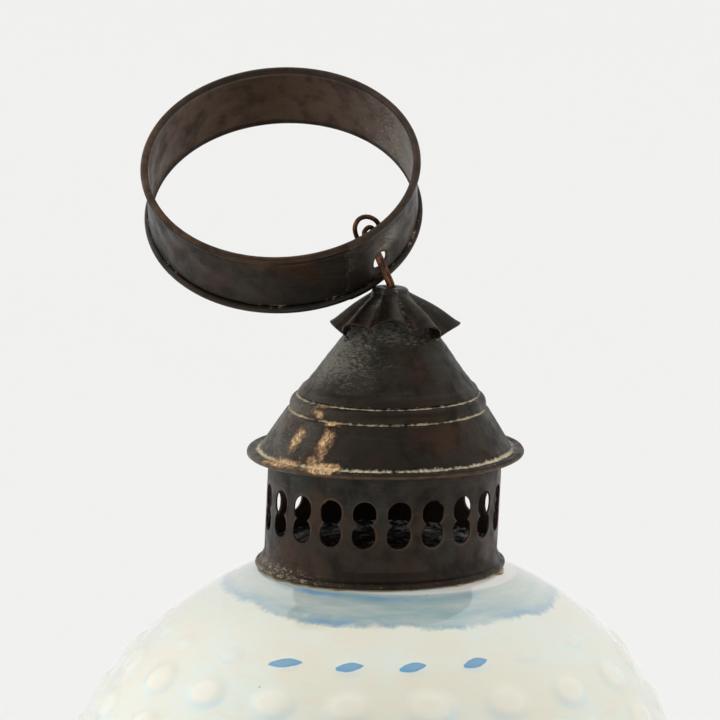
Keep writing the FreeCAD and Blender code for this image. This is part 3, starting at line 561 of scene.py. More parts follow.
def small_metal_finishes():
    """Iron-brown edge wire with rust, oxidised copper wire, tarnished brass springs and dull grey solder."""
    rust = ((0.04, 0.03, 0.024), (0.12, 0.06, 0.03))
    stained_metal("edge_wire", (400, 5, 0.55, 0.45, 0.65), rust, (1500, 5, 0.5), 0.0001, (0.5, 0.8), 0.6)
    rubbed = ((0.055, 0.024, 0.014), (0.19, 0.072, 0.030))
    spots = (0.03, 0.018, 0.012)
    stained_metal(
        "copper_wire", (260, 5, 0.6, 0.42, 0.6), rubbed, (1800, 4, 0.5), 0.00008, (0.36, 0.65), 0.75, spots
    )
    brass = ((0.36, 0.25, 0.1), (0.12, 0.08, 0.04))
    stained_metal("spring_brass", (300, 5, 0.55, 0.4, 0.62), brass, (1400, 4, 0.4), 0.00008, (0.34, 0.6), 0.9)
    lead = ((0.16, 0.155, 0.14), (0.07, 0.055, 0.04))
    stained_metal("solder", (500, 5, 0.55, 0.45, 0.65), lead, (1200, 5, 0.6), 0.00015, (0.45, 0.75), 0.7)


def plaster_finish():
    """Crumbly tan plaster, brown at its edge and black with soot where the flue gas reaches it; that black also
    paints the shade inside the collar.
    """
    made = Nodes("plaster")
    grain = made.noise(900, 7, 0.7)
    brown, tan = (0.26, 0.17, 0.08), (0.46, 0.35, 0.20)
    soot_and_shade, bare_grey = (0.03, 0.03, 0.03), (0.42, 0.43, 0.42)
    colour = made.mix(made.window(made.noise(260, 5), 0.38, 0.62), brown, tan)
    # Black soot colour high inside the collar, with scraped grey streaks. It also paints the shade there.
    soot_and_shade_height = made.window(made.z, FOOT_HEIGHT + 3.5 * MM, FOOT_HEIGHT + 5.5 * MM)
    scraped = made.window(made.noise(420, 5, stretch=(1, 1, 2.5)), 0.5, 0.6)
    colour = made.mix(soot_and_shade_height, colour, made.mix(scraped, soot_and_shade, bare_grey))
    pits = made.window(grain, 0.3, 0.6)
    normal = made.dent(grain, 0.0006, 0.9)
    return made.finish(Base_Color=colour, Roughness=made.window(pits, 0, 1, 0.95, 0.8), Normal=normal)


def glass_finish(look):
    """Glossy opalescent glass: cream body, blue where it is thin at the neck, blue marks on the first hobs,
    painted shade on the hobs' lower sides, a painted reflection of the collar at the front, and soot colour inside
    the collar that also paints the shade there.
    """
    made = Nodes("opal_glass")
    height = made.maths("SUBTRACT", made.z, GLOBE_MIDDLE)
    polar = made.maths("DEGREES", made.maths("ARCCOSINE", made.maths("DIVIDE", height, HOB_PEAK_RADIUS)))
    edge_noise = made.noise(30, 9, 0.74, stretch=(1, 1, 0.5))
    ragged_polar = made.raised(polar, edge_noise, 9.0)
    # The band is made stronger towards the front. This is a painted reflection of the dark collar in the curved
    # glass, laid over the band's own blue.
    front_reflection = made.window(made.y, -0.02, -0.06, 0.55, 1.0)
    band = made.times(made.window(ragged_polar, look.band_edge + 5.1, look.band_edge + 3.7), front_reflection)
    cloud = made.noise(22, 5, 0.6, stretch=(1, 1, 2.2))
    swirl = made.noise(60, 5, 0.65, stretch=(1, 1, 3), distortion=1.2)
    colour = made.mix(made.window(cloud, 0.35, 0.65), look.cream, look.pale_green)
    colour = made.paint(colour, made.window(swirl, 0.5, 0.72), 0.55, look.warm)
    streak = made.noise(34, 6, 0.6, stretch=(0.7, 0.7, 7))
    colour = made.paint(colour, band, made.window(streak, 0.32, 0.66, 0.5, 0.95), look.blue)
    colour = made.paint(colour, made.window(polar, 24.7, 24.0), 0.8, look.neck_white)
    rim_polar = made.raised(polar, edge_noise, 2.0)
    # A deep-blue line just below the collar, at the front only: a painted reflection of the collar.
    collar_reflection_line = made.times(made.window(rim_polar, 25.9, 26.3), made.window(rim_polar, 27.6, 26.7))
    for limit in (made.window(made.y, -0.02, -0.04), made.window(made.noise(18, 3), 0.4, 0.58)):
        collar_reflection_line = made.times(collar_reflection_line, limit)
    colour = made.paint(colour, collar_reflection_line, 0.8, look.deep_blue_and_reflection)
    edge_line = made.times(made.window(ragged_polar, look.band_edge + 2.0, look.band_edge + 3.6), band)
    edge_line = made.times(edge_line, made.window(made.noise(25, 3), 0.42, 0.6))
    colour = made.paint(colour, edge_line, 0.55, look.deep_blue_and_reflection)
    crown = made.window(made.field("hob"), 0.35, 0.95)
    colour = made.paint(colour, crown, made.window(cloud, 0.35, 0.6, 0.35, 0.7), look.hob_cream)
    # Painted shade: pale blue on the lower side of each hob.
    shade_crescent = made.window(made.field("shade_crescent"), 0.18, 0.7)
    colour = made.paint(colour, shade_crescent, made.window(cloud, 0.3, 0.7, 0.15, 0.5), look.hob_shade_blue)
    rough_mark = made.raised(made.field("mark"), made.noise(400, 3, 0.5), 0.2)
    colour = made.paint(colour, made.window(rough_mark, 0.48, 0.60), 0.95, look.mark_blue)
    colour = made.paint(colour, made.window(rough_mark, 0.8, 1.05), 0.45, look.blue)
    speck = made.times(made.window(made.cells(75), 0.085, 0.05), made.window(made.noise(31, 2), 0.53, 0.58))
    colour = made.paint(colour, speck, 0.75, look.speck)
    wiped = made.window(made.noise(230, 9, 0.8, stretch=(0.7, 0.7, 3.0)), 0.47, 0.66)
    # Dark soot colour inside the collar, with paler wiped streaks. The dark colour also paints the shade that
    # falls there.
    colour = made.mix(made.field("soot_and_shade"), colour, made.mix(wiped, look.soot_and_shade, look.wiped_soot))
    normal = made.dent(made.noise(70, 3, 0.5, stretch=(1, 1, 2)), 0.0006, 0.35)
    sooty_gloss = made.window(made.field("soot_and_shade"), 0, 1, 0.07, 0.6)
    material = made.finish(Base_Color=colour, Roughness=sooty_gloss, Normal=normal)
    steady = {
        "IOR": 1.52, "Coat Weight": 0.9, "Coat Roughness": 0.03,
        "Subsurface Weight": 0.2, "Subsurface Scale": 0.004,
    }
    for name, number in steady.items():
        made.shader.inputs[name].default_value = number
    return material


def floor_finish(shade):
    """Pale paper floor with a faint mottle."""
    made = Nodes("studio_floor")
    mottle = made.window(made.noise(0.6, 3), 0.3, 0.7)
    colour = made.mix(mottle, (shade, shade, shade), (shade * 1.006, shade * 1.004, shade))
    return made.finish(Base_Color=colour, Roughness=0.9)


# ---------------------------------------------------------------- settings
def colour_property(name, description, default):
    return bpy.props.FloatVectorProperty(
        name=name, description=description, default=default, subtype="COLOR", min=0, max=1
    )


def length_property(name, description, millimetres):
    return bpy.props.FloatProperty(
        name=name, description=description, default=millimetres * MM,
        unit="LENGTH", subtype="DISTANCE", precision=5,
    )


def angle_property(name, description, degrees):
    return bpy.props.FloatProperty(
        name=name, description=description, default=math.radians(degrees), unit="ROTATION", subtype="ANGLE"
    )


def count_property(name, description, default):
    return bpy.props.IntProperty(name=name, description=description, default=default, min=3)


def number_property(name, description, default):
    return bpy.props.FloatProperty(name=name, description=description, default=default, min=0)


def strength_property(name, source, default):
    return number_property(name, "Strength of " + source, default)


class LanternCopper(bpy.types.PropertyGroup):
    """Colours and gloss of the patinated copper."""

    brown: colour_property("Brown", "Main patina", (0.034, 0.024, 0.017))
    grey: colour_property("Grey", "Greyer patches of the patina", (0.036, 0.033, 0.027))
    grey_light: colour_property("Light grey", "Rubbed turning marks", (0.10, 0.088, 0.070))
    red: colour_property("Red", "Reddish patches", (0.060, 0.029, 0.017))
    inside_red: colour_property("Inside", "Inner face of the hanging ring", (0.084, 0.045, 0.027))
    black: colour_property("Black", "Darkest blotches", (0.011, 0.009, 0.007))
    # The worn colour also paints highlights on the smoke cap's folds and the vents' rims.
    wear_and_highlight: colour_property("Worn", "Handled edges", (0.125, 0.072, 0.043))
    dust: colour_property("Dust", "Light dust", (0.26, 0.25, 0.20))
    fleck: colour_property("Fleck", "White flecks", (0.60, 0.58, 0.50))
    dirt_cream: colour_property("Dirt", "Pale dirt in the creases", (0.66, 0.57, 0.38))
    dirt_green: colour_property("Verdigris", "Greenish dirt in the creases", (0.30, 0.30, 0.20))
    tan: colour_property("Tan", "Tan crust on the roof", (0.47, 0.25, 0.10))
    tan_cream: colour_property("Pale tan", "Pale parts of the crust", (0.84, 0.62, 0.36))
    rough_low: number_property("Smoothest", "Lowest roughness", 0.36)
    rough_high: number_property("Roughest", "Highest roughness", 0.6)
    metallic: number_property("Metallic", "Share of bare metal", 0.8)


class LanternGlass(bpy.types.PropertyGroup):
    """Hobs and colours of the glass globe."""

    columns: count_property("Columns", "Hobs in each row", 20)
    rows: count_property("Rows", "Rows of hobs", 13)
    first_row: angle_property("First row", "Polar angle of the first row", 40.5)
    second_row: angle_property("Second row", "Polar angle of the second row", 48.6)
    row_pitch: angle_property("Row pitch", "Angle between later rows", 8.9)
    twist: angle_property("Twist", "How far each row is turned against the one above", 2.4)
    first_turn: angle_property("First turn", "Heading of one hob of the first row, from the front", -7.3)
    hob_width: length_property("Hob width", "Half width of a hob", 9.3)
    hob_height: length_property("Hob rise", "Half height of a hob", 7.6)
    hob_relief: length_property("Hob relief", "How far a hob stands proud", 1.5)
    wall: length_property("Wall", "Thickness of the glass", 2.8)
    band_edge: number_property("Band edge", "Polar angle where the blue ends, degrees", 32.3)
    cream: colour_property("Cream", "Body of the glass", (0.79, 0.765, 0.635))
    pale_green: colour_property("Pale green", "Cooler parts of the body", (0.76, 0.80, 0.72))
    warm: colour_property("Warm", "Warmer swirls", (0.80, 0.72, 0.58))
    blue: colour_property("Blue", "Band round the neck", (0.25, 0.40, 0.44))
    # Deep blue colours the band's ragged edge and also paints the collar's reflection below it at the front.
    deep_blue_and_reflection: colour_property("Deep blue", "Edges of the band", (0.13, 0.33, 0.58))
    mark_blue: colour_property("Mark", "Marks of the first row", (0.10, 0.34, 0.60))
    # This pale blue is painted shade on the hobs' lower sides.
    hob_shade_blue: colour_property("Pale blue", "Lower sides of the hobs", (0.60, 0.78, 0.82))
    hob_cream: colour_property("Hob", "Middles of the hobs", (0.86, 0.84, 0.72))
    speck: colour_property("Speck", "Brown specks in the glass", (0.33, 0.2, 0.07))
    # The soot colour also paints the shade inside the collar.
    soot_and_shade: colour_property("Soot", "Soot inside the neck", (0.02, 0.022, 0.024))
    wiped_soot: colour_property("Wiped soot", "Where the soot has rubbed off", (0.62, 0.65, 0.66))
    neck_white: colour_property("Neck", "Pale ring beside the collar", (0.86, 0.82, 0.76))


class LanternCollar(bpy.types.PropertyGroup):
    """Punched vents of the collar, for the painted highlight on their rims."""

    vents: count_property("Vents", "Number of vents", 21)
    vent_turn: angle_property("Vent turn", "Heading of one vent", 4.06)
    vent_height: length_property("Vent height", "Middle of the vents above the collar's foot", 22.2)
    lobe_spacing: length_property("Lobe spacing", "Between the middles of a vent's two lobes", 7.6)
    lobe_radius: length_property("Lobe radius", "Radius of a lobe", 4.4)


class LanternRoof(bpy.types.PropertyGroup):
    """Roof sheet and smoke cap."""

    wall: length_property("Wall", "Thickness of the roof's sheet", 0.7)
    eave_roll: length_property("Eave roll", "Radius of the rolled eave", 1.2)
    chimney: length_property("Chimney", "Radius of the cone's open top", 11.42)
    flutes: count_property("Flutes", "Flutes crimped in the smoke cap", 8)
    tip_radius: length_property("Flute tip", "Reach of a flute", 22.8)
    tip_drop: length_property("Tip drop", "Fall from the crown to a flute's edge", 13.3)
    crease_drop: length_property("Crease drop", "Fall from the crown to a crease's foot", 18.6)
    front_lift: length_property("Front lift", "How far the front of the cap is bent up", 5.6)
    cap_slip: length_property("Cap slip", "How far the cap's skirt sits off the crown", 0.9)
    crown: length_property("Crown", "Radius of the flat crown", 4.8)
    shoulder: length_property("Shoulder", "Radius of the cap's shoulder", 6.6)
    shoulder_drop: length_property("Shoulder drop", "Fall from the crown to the shoulder", 1.95)
    cap_wall: length_property("Cap wall", "Thickness of the cap's sheet", 0.6)
    cap_hole: length_property("Cap hole", "Radius of the hole in the crown", 2.3)


class LanternRing(bpy.types.PropertyGroup):
    """Hanging ring and wire link."""

    radius: length_property("Radius", "Outer radius of the band", 48.2)
    wall: length_property("Wall", "Thickness of the band", 0.7)
    roll: length_property("Roll", "Radius of each rolled edge", 1.4)
    roll_circle: length_property("Roll circle", "Radius of the circle of the rolls", 48.4)
    roll_spacing: length_property("Roll spacing", "Distance between the rolls", 24.16)
    hole: length_property("Hole", "Radius of the link's hole", 3.45)
    wire: length_property("Wire", "Radius of the link's wire", 0.85)
    arm: length_property("Arm", "Length of each arm under the crown", 4.2)
    eye_turn: angle_property("Eye turn", "How far the eye is twisted about its strands", 40)
    seam: angle_property("Seam", "Where the band laps over itself, from the hole", -18)


class LanternStage(bpy.types.PropertyGroup):
    """Camera, floor and lights."""

    distance: length_property("Distance", "Camera to the foot of the collar", 2000)
    elevation: angle_property("Elevation", "How far the camera looks down", 11.26)
    roll: angle_property("Roll", "Tilt of the camera", 1.80)
    turn: angle_property("Turn", "How far the view is turned left of the lantern", 0.2542)
    lift: angle_property("Lift", "How far the view is raised above the aim", 0.9456)
    aim_drop: length_property("Aim", "Height that the distance is measured to", 288)
    lens: number_property("Lens", "Focal length, millimetres", 281.74)
    floor_shade: number_property("Floor", "Lightness of the floor", 0.80)
    sky: strength_property("Sky", "the sky behind and above", 0.79)
    sky_front: strength_property("Front sky", "the sky in front", 0.19)
    sky_left: strength_property("Left sky", "the sky's extra light at the left", 0.6)
    key: strength_property("Top", "the lamp above", 0.95)
    left: strength_property("Left", "the lamp at the left", 0.42)
    right: strength_property("Right", "the lamp at the right", 0.6)


# ---------------------------------------------------------------- operators
class LANTERN_OT_finishes(bpy.types.Operator):
    """Make every finish of the lantern"""

    bl_idname = "lantern.finishes"
    bl_label = "Finishes"

    def execute(self, context):
        copper_finish(context.scene.lantern_copper)
        copper_finish(context.scene.lantern_copper, "pierced_copper", context.scene.lantern_collar)
        glass_finish(context.scene.lantern_glass)
        small_metal_finishes()
        plaster_finish()
        for subpart in frame["record"]["subparts"]:
            node = frame["nodes"][subpart["node"]]
            node.data.materials.clear()
            node.data.materials.append(bpy.data.materials[finish_name(subpart["material_slot"])])
        return {"FINISHED"}


def hob_fields(look, polar, azimuth):
    """Roundness, painted shade on the lower side (a crescent) and blue mark of the hobs at each point of the ball.

    A hob is 1 inside 0.35 of its own ellipse and falls smoothly to 0 at its edge.  Each row is the same
    ring of hobs, turned by the twist, with a little seeded unevenness in size and place.
    """
    random = np.random.default_rng(11)
    hob, shade_crescent, mark = (np.zeros(polar.shape) for _ in range(3))
    pitch = TURN / look.columns
    ball = HOB_PEAK_RADIUS
    for row in range(look.rows):
        centre = look.first_row if row == 0 else look.second_row + (row - 1) * look.row_pitch
        growth = 1 + 0.16 * math.sin(centre)
        start = -math.pi / 2 + look.first_turn + row * look.twist
        nearest = np.round((azimuth - start) / pitch)
        shift = random.uniform(-0.028, 0.028, look.columns)
        size = random.uniform(0.93, 1.05, look.columns)
        if row == 0:
            shift[:4] = np.radians([0.0, -1.5, -2.5, -4.0])
            shift[-2:] = np.radians([1.5, 0.7])
        which = nearest.astype(int) % look.columns
        across = (azimuth - start - nearest * pitch - shift[which]) * ball * math.sin(centre)
        up = (polar - centre) * ball
        grown = growth * size[which]
        width, height = look.hob_width * grown, look.hob_height * grown
        if row == 0:
            width, height = width * 0.62, height * 0.5
        distance = np.hypot(across / width, up / height)
        lower = np.hypot(across / width, (up + 0.3 * height) / height)
        dome = 1 - smooth_step(0.35, 1.0, distance)
        if row == 0:
            marked = np.abs(angle_gap(azimuth, -90)) < 33
            wide = 4.5 * MM * np.where(which == look.columns - 1, 1.28, 1.0)
            tall = 1.8 * MM
            slanted = up + 0.17 * across
            pointed = (np.abs(across) / wide) ** 1.5 + (np.abs(slanted) / tall) ** 1.5
            mark = np.maximum(mark, np.clip(1.35 - 0.75 * pointed, 0, 1) * marked)
            dome = dome * 0.35
        hob = np.maximum(hob, dome)
        # Painted shade: a crescent on the lower side of each hob, where its dome turns away from the light.
        underside_shade = (1 - smooth_step(0.75, 1.08, distance)) * smooth_step(0.6, 1.15, lower)
        shade_crescent = np.maximum(shade_crescent, underside_shade)
    return hob, shade_crescent, mark


class LANTERN_OT_globe(bpy.types.Operator):
    """Build the blown glass globe with its rows of hobs"""

    bl_idname = "lantern.globe"
    bl_label = "Globe"

    def execute(self, context):
        look = context.scene.lantern_glass
        low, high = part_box("globe")
        ball = HOB_PEAK_RADIUS - look.hob_relief
        neck = FOOT_RADIUS - 3.85 * MM
        lip = high.z - GLOBE_MIDDLE
        outer_end = math.asin(neck / ball)
        inner_ball = ball - look.wall
        inner_neck = neck - look.wall
        inner_end = math.asin(inner_neck / inner_ball)
        fine = np.linspace(outer_end, math.radians(66), 84, endpoint=False)
        coarse = np.linspace(math.radians(66), math.pi - outer_end, 84)
        outer_polar = np.r_[fine, coarse]
        outer = ball * np.stack([np.sin(outer_polar), np.cos(outer_polar)], axis=1)
        inner_polar = np.linspace(math.pi - inner_end, inner_end, 48)
        inner = inner_ball * np.stack([np.sin(inner_polar), np.cos(inner_polar)], axis=1)
        mouth = arc((neck - look.wall / 2, lip - look.wall / 2), look.wall / 2, 180, 0, 9)
        outline = np.vstack([mouth, outer, (mouth * [1, -1])[::-1], inner])
        radius, height, azimuth = turned(outline, 400)
        reach = np.hypot(radius, height)
        polar = np.arctan2(radius, height)
        azimuth = np.where(azimuth > math.pi / 2, azimuth - TURN, azimuth)
        hob, shade_crescent, mark = hob_fields(look, polar, azimuth)
        on_ball = smooth_step(inner_ball + 0.5 * look.wall, inner_ball + 0.9 * look.wall, reach)
        waves = ripple(azimuth, 3, (2, 3, 5), 0.12 * MM) * np.sin(polar) ** 2
        relief = on_ball * (hob * (look.hob_relief - 0.4 * MM) + waves)
        stretch = 1 + relief / reach
        points = settled(around_axis(radius * stretch, GLOBE_MIDDLE + height * stretch, azimuth))
        above_foot = GLOBE_MIDDLE + height - FOOT_HEIGHT
        # Soot on the glass within the collar and just under the neck. Its dark colour also paints the shade inside
        # the collar.
        soot_and_shade = (reach < ball - 0.3 * look.wall) * smooth_step(-7 * MM, -2 * MM, above_foot)
        soot_and_shade = np.maximum(soot_and_shade, smooth_step(0.6 * MM, 1.4 * MM, above_foot))
        fields = {"hob": hob * on_ball, "shade_crescent": shade_crescent * on_ball, "mark": mark * on_ball, "soot_and_shade": soot_and_shade}
        new_piece("globe", points, closed_grid(*radius.shape), "lantern", "opal_glass", ["globe"], fields)
        return {"FINISHED"}


# The skirt's outline: across and up from the cone's foot and how far each corner is eased, millimetres.
SKIRT_STEPS = (
    (-3.2, 3.0, 0), (-1.0, 0.1, 0.3), (0.15, -0.5, 0.25), (1.75, -0.85, 1.0), (2.75, -2.6, 1.6),
    (2.85, -4.9, 0.5), (2.45, -5.55, 0.25), (3.75, -5.75, 0.6), (4.6, -7.0, 0.9), (8.9, -13.6, 3.0),
    (12.9, -20.0, 0.5), (14.6, -20.35, 0.8), (15.6, -19.9, 0.5),
)
# Creases that hold dirt: across and up from the cone's foot and half width, millimetres.
SKIRT_CREASES = ((0.1, -0.55, 0.85), (2.5, -5.6, 1.0), (13.0, -20.1, 1.35))
# Tan crust: heading in degrees, rise from the cone's foot in millimetres, half width in degrees, half
# height in millimetres, strength.
CRUST_PATCHES = (
    (-142, -12.6, 6.0, 5.6, 0.95), (-123, -12.2, 6.5, 6.6, 1.0), (-136, -3.2, 8.0, 2.4, 0.95),
    (-140, -19.6, 14, 1.7, 1.0), (-119, -19.6, 11, 1.8, 1.2), (-123, -5.8, 8.0, 1.0, 1.0),
    (-134, -0.6, 8.0, 0.9, 0.9), (-126, -17.5, 9.0, 2.4, 0.8),
)
SEAM_HEADING = 108  # degrees, where the cone's sheet laps over itself


class LANTERN_OT_roof(bpy.types.Operator):
    """Build the stepped roof skirt with its rolled eave, and the cone on it"""

    bl_idname = "lantern.roof"
    bl_label = "Roof"

    def execute(self, context):
        look = context.scene.lantern_roof
        self.skirt(look)
        self.cone(look)
        return {"FINISHED"}

    def skirt(self, look):
        """The stepped sheet with its bead, brim and rolled eave, dirty in its creases, and the eave's wire."""
        slope = rounded(np.array(SKIRT_STEPS) * MM)
        roll_centre = (half_width("roof_skirt") - look.eave_roll - CONE_FOOT[0], -21.1 * MM)
        lip = arc(roll_centre, look.eave_roll, 100, -190, 22)
        under = evened(slope[:-6], 0.8 * MM)[::-1] + np.array([-0.62, -0.45]) * MM
        outline = CONE_FOOT + np.vstack([evened(slope[:-1], 0.45 * MM), lip, under])
        radius, height, angle = turned(outline, 320)
        step = height - CONE_FOOT[1]
        sway = ripple(angle, 21, (2, 3, 5, 7), 0.16 * MM) + ripple(angle, 22, (11, 17, 23), 0.05 * MM)
        share = smooth_step(3 * MM, -12 * MM, step)
        droop = ripple(angle, 23, (2, 3, 4), 0.3 * MM) * smooth_step(-14 * MM, -19 * MM, step)
        edge_limit = half_width("roof_skirt") - 0.02 * MM
        grown = np.minimum(radius + sway * share, edge_limit)
        patchy = 0.82 + ripple(angle, 24, (3, 5, 8, 13), 0.12)
        dirt = np.zeros(radius.shape)
        for across, up, width in SKIRT_CREASES:
            gap = np.hypot(radius - CONE_FOOT[0] - across * MM, step - up * MM)
            dirt = np.maximum(dirt, np.exp(-((gap / (width * MM)) ** 2)) * patchy)
        lip_gap = np.hypot(radius - CONE_FOOT[0] - roll_centre[0], step - roll_centre[1])
        on_lip = (lip_gap < 1.3 * MM) * smooth_step(-0.2 * MM, 0.9 * MM, step - roll_centre[1])
        dirt = np.maximum(dirt, 0.34 * on_lip)
        smear = np.zeros(radius.shape)
        for heading, up, wide, tall, strength in CRUST_PATCHES:
            spot = strength * bump(angle_gap(angle, heading), 0, wide) * bump(step / MM, up, tall)
            smear = np.maximum(smear, spot)
        wear_and_highlight = 0.8 * smooth_step(0.9 * MM, -0.3 * MM, step - roll_centre[1]) * (lip_gap < 1.35 * MM)
        left = bump(angle_gap(angle, 175), 0, 60)
        fields = {"dirt": dirt, "smear": smear, "wear_and_highlight": wear_and_highlight, "dust": 0.75 * left, "specks": 0.35 * left}
        points = settled(around_axis(grown, height + droop * 0.4, angle))
        quads = closed_grid(*radius.shape)
        new_piece("roof_skirt", points, quads, "lantern", "copper", ["roof_skirt"], fields)
        wire = CONE_FOOT + arc(roll_centre, 0.5 * MM, 0, 330, 12)
        radius, height, angle = turned(wire, 120)
        points = settled(around_axis(radius, height, angle))
        new_piece("eave_wire", points, closed_grid(*radius.shape), "lantern", "edge_wire", ["eave_wire"])

    def cone(self, look):
        """The upper cone, slightly dented, with a flared foot and its sheet lapped at the seam."""
        top = np.array([look.chimney, CONE_TOP_HEIGHT])
        run = top - CONE_FOOT
        along = run / np.linalg.norm(run)
        outward = np.array([along[1], -along[0]])
        layers = [(0.0, 0.05), (0.35, 0.42), (2.6, 0.5), (3.5, 0.28), (4.6, 0.02), (20.0, 0.0)]
        outer = [CONE_FOOT + along * far * MM + outward * proud * MM for far, proud in layers] + [top]
        outline = sheet_outline(np.array(outer), -outward * look.wall, 0.9 * MM)
        radius, height, angle = turned(outline, 280)
        rise = (height - CONE_FOOT[1]) / (CONE_TOP_HEIGHT - CONE_FOOT[1])
        from_seam = angle_gap(angle, SEAM_HEADING)
        lap = 0.4 * MM * smooth_step(0, 1.2, from_seam) * smooth_step(26, 9, from_seam)
        dents = ripple(angle + 2 * rise, 31, (3, 4, 7), 0.14 * MM)
        dents = dents + ripple(angle - 5 * rise, 32, (9, 14), 0.05 * MM)
        quiet = smooth_step(0, 0.12, rise) * smooth_step(1.05, 0.8, rise)
        dirt = 0.5 * bump(rise, 0, 0.025) + 0.3 * smooth_step(0.78, 0.98, rise)
        seam_dirt = 0.55 * bump(from_seam, 0, 1.4) * smooth_step(0, 0.1, rise)
        dust = bump(angle_gap(angle, -155), 0, 62) * smooth_step(-0.1, 0.45, rise)
        dust = np.maximum(dust, 0.9 * smooth_step(0.5, 0.9, rise))
        fields = {"dirt": np.maximum(dirt, seam_dirt), "dust": dust, "specks": 0.25 * dust}
        points = settled(around_axis(radius + (lap + dents) * quiet, height, angle))
        faces = closed_grid(*radius.shape)
        new_piece("roof_cone", points, faces, "lantern", "copper", ["roof_cone"], fields, 50)


class LANTERN_OT_vent_collar(bpy.types.Operator):
    """Settle the pierced collar, its foot wire and the roof's solder, and lay dirt on the foot"""

    bl_idname = "lantern.vent_collar"
    bl_label = "Vent collar"

    def execute(self, context):
        fields = {"dirt": self.dirt, "specks": self.specks}
        copied_node("vent_collar", "lantern", "copper", fields, finish="pierced_copper")
        copied_node("collar_foot_wire", "lantern", "edge_wire")
        copied_node("roof_solder", "lantern", "solder")
        return {"FINISHED"}

    def dirt(self, points):
        """A thin line of dirt above the rolled foot, thickest at the left."""
        rise = (points[:, 2] - FOOT_HEIGHT) / MM
        heading = np.arctan2(points[:, 1], points[:, 0])
        left = 0.5 + 0.5 * bump(angle_gap(heading, -150), 0, 55)
        return 0.42 * left * smooth_step(4.6, 1.8, rise)

    def specks(self, points):
        """Loose specks low on the wall at the left and a few at the right."""
        rise = (points[:, 2] - FOOT_HEIGHT) / MM
        heading = np.arctan2(points[:, 1], points[:, 0])
        sides = bump(angle_gap(heading, -160), 0, 34) + 0.6 * bump(angle_gap(heading, -22), 0, 30)
        return 0.42 * sides * smooth_step(8.5, 3.5, rise)


def cone_radius(look, height):
    """Radius of the cone's outer face at a height: it falls evenly from the foot to the chimney."""
    slope = (CONE_FOOT[0] - look.chimney) / (CONE_TOP_HEIGHT - CONE_FOOT[1])
    return CONE_FOOT[0] - slope * (height - CONE_FOOT[1])


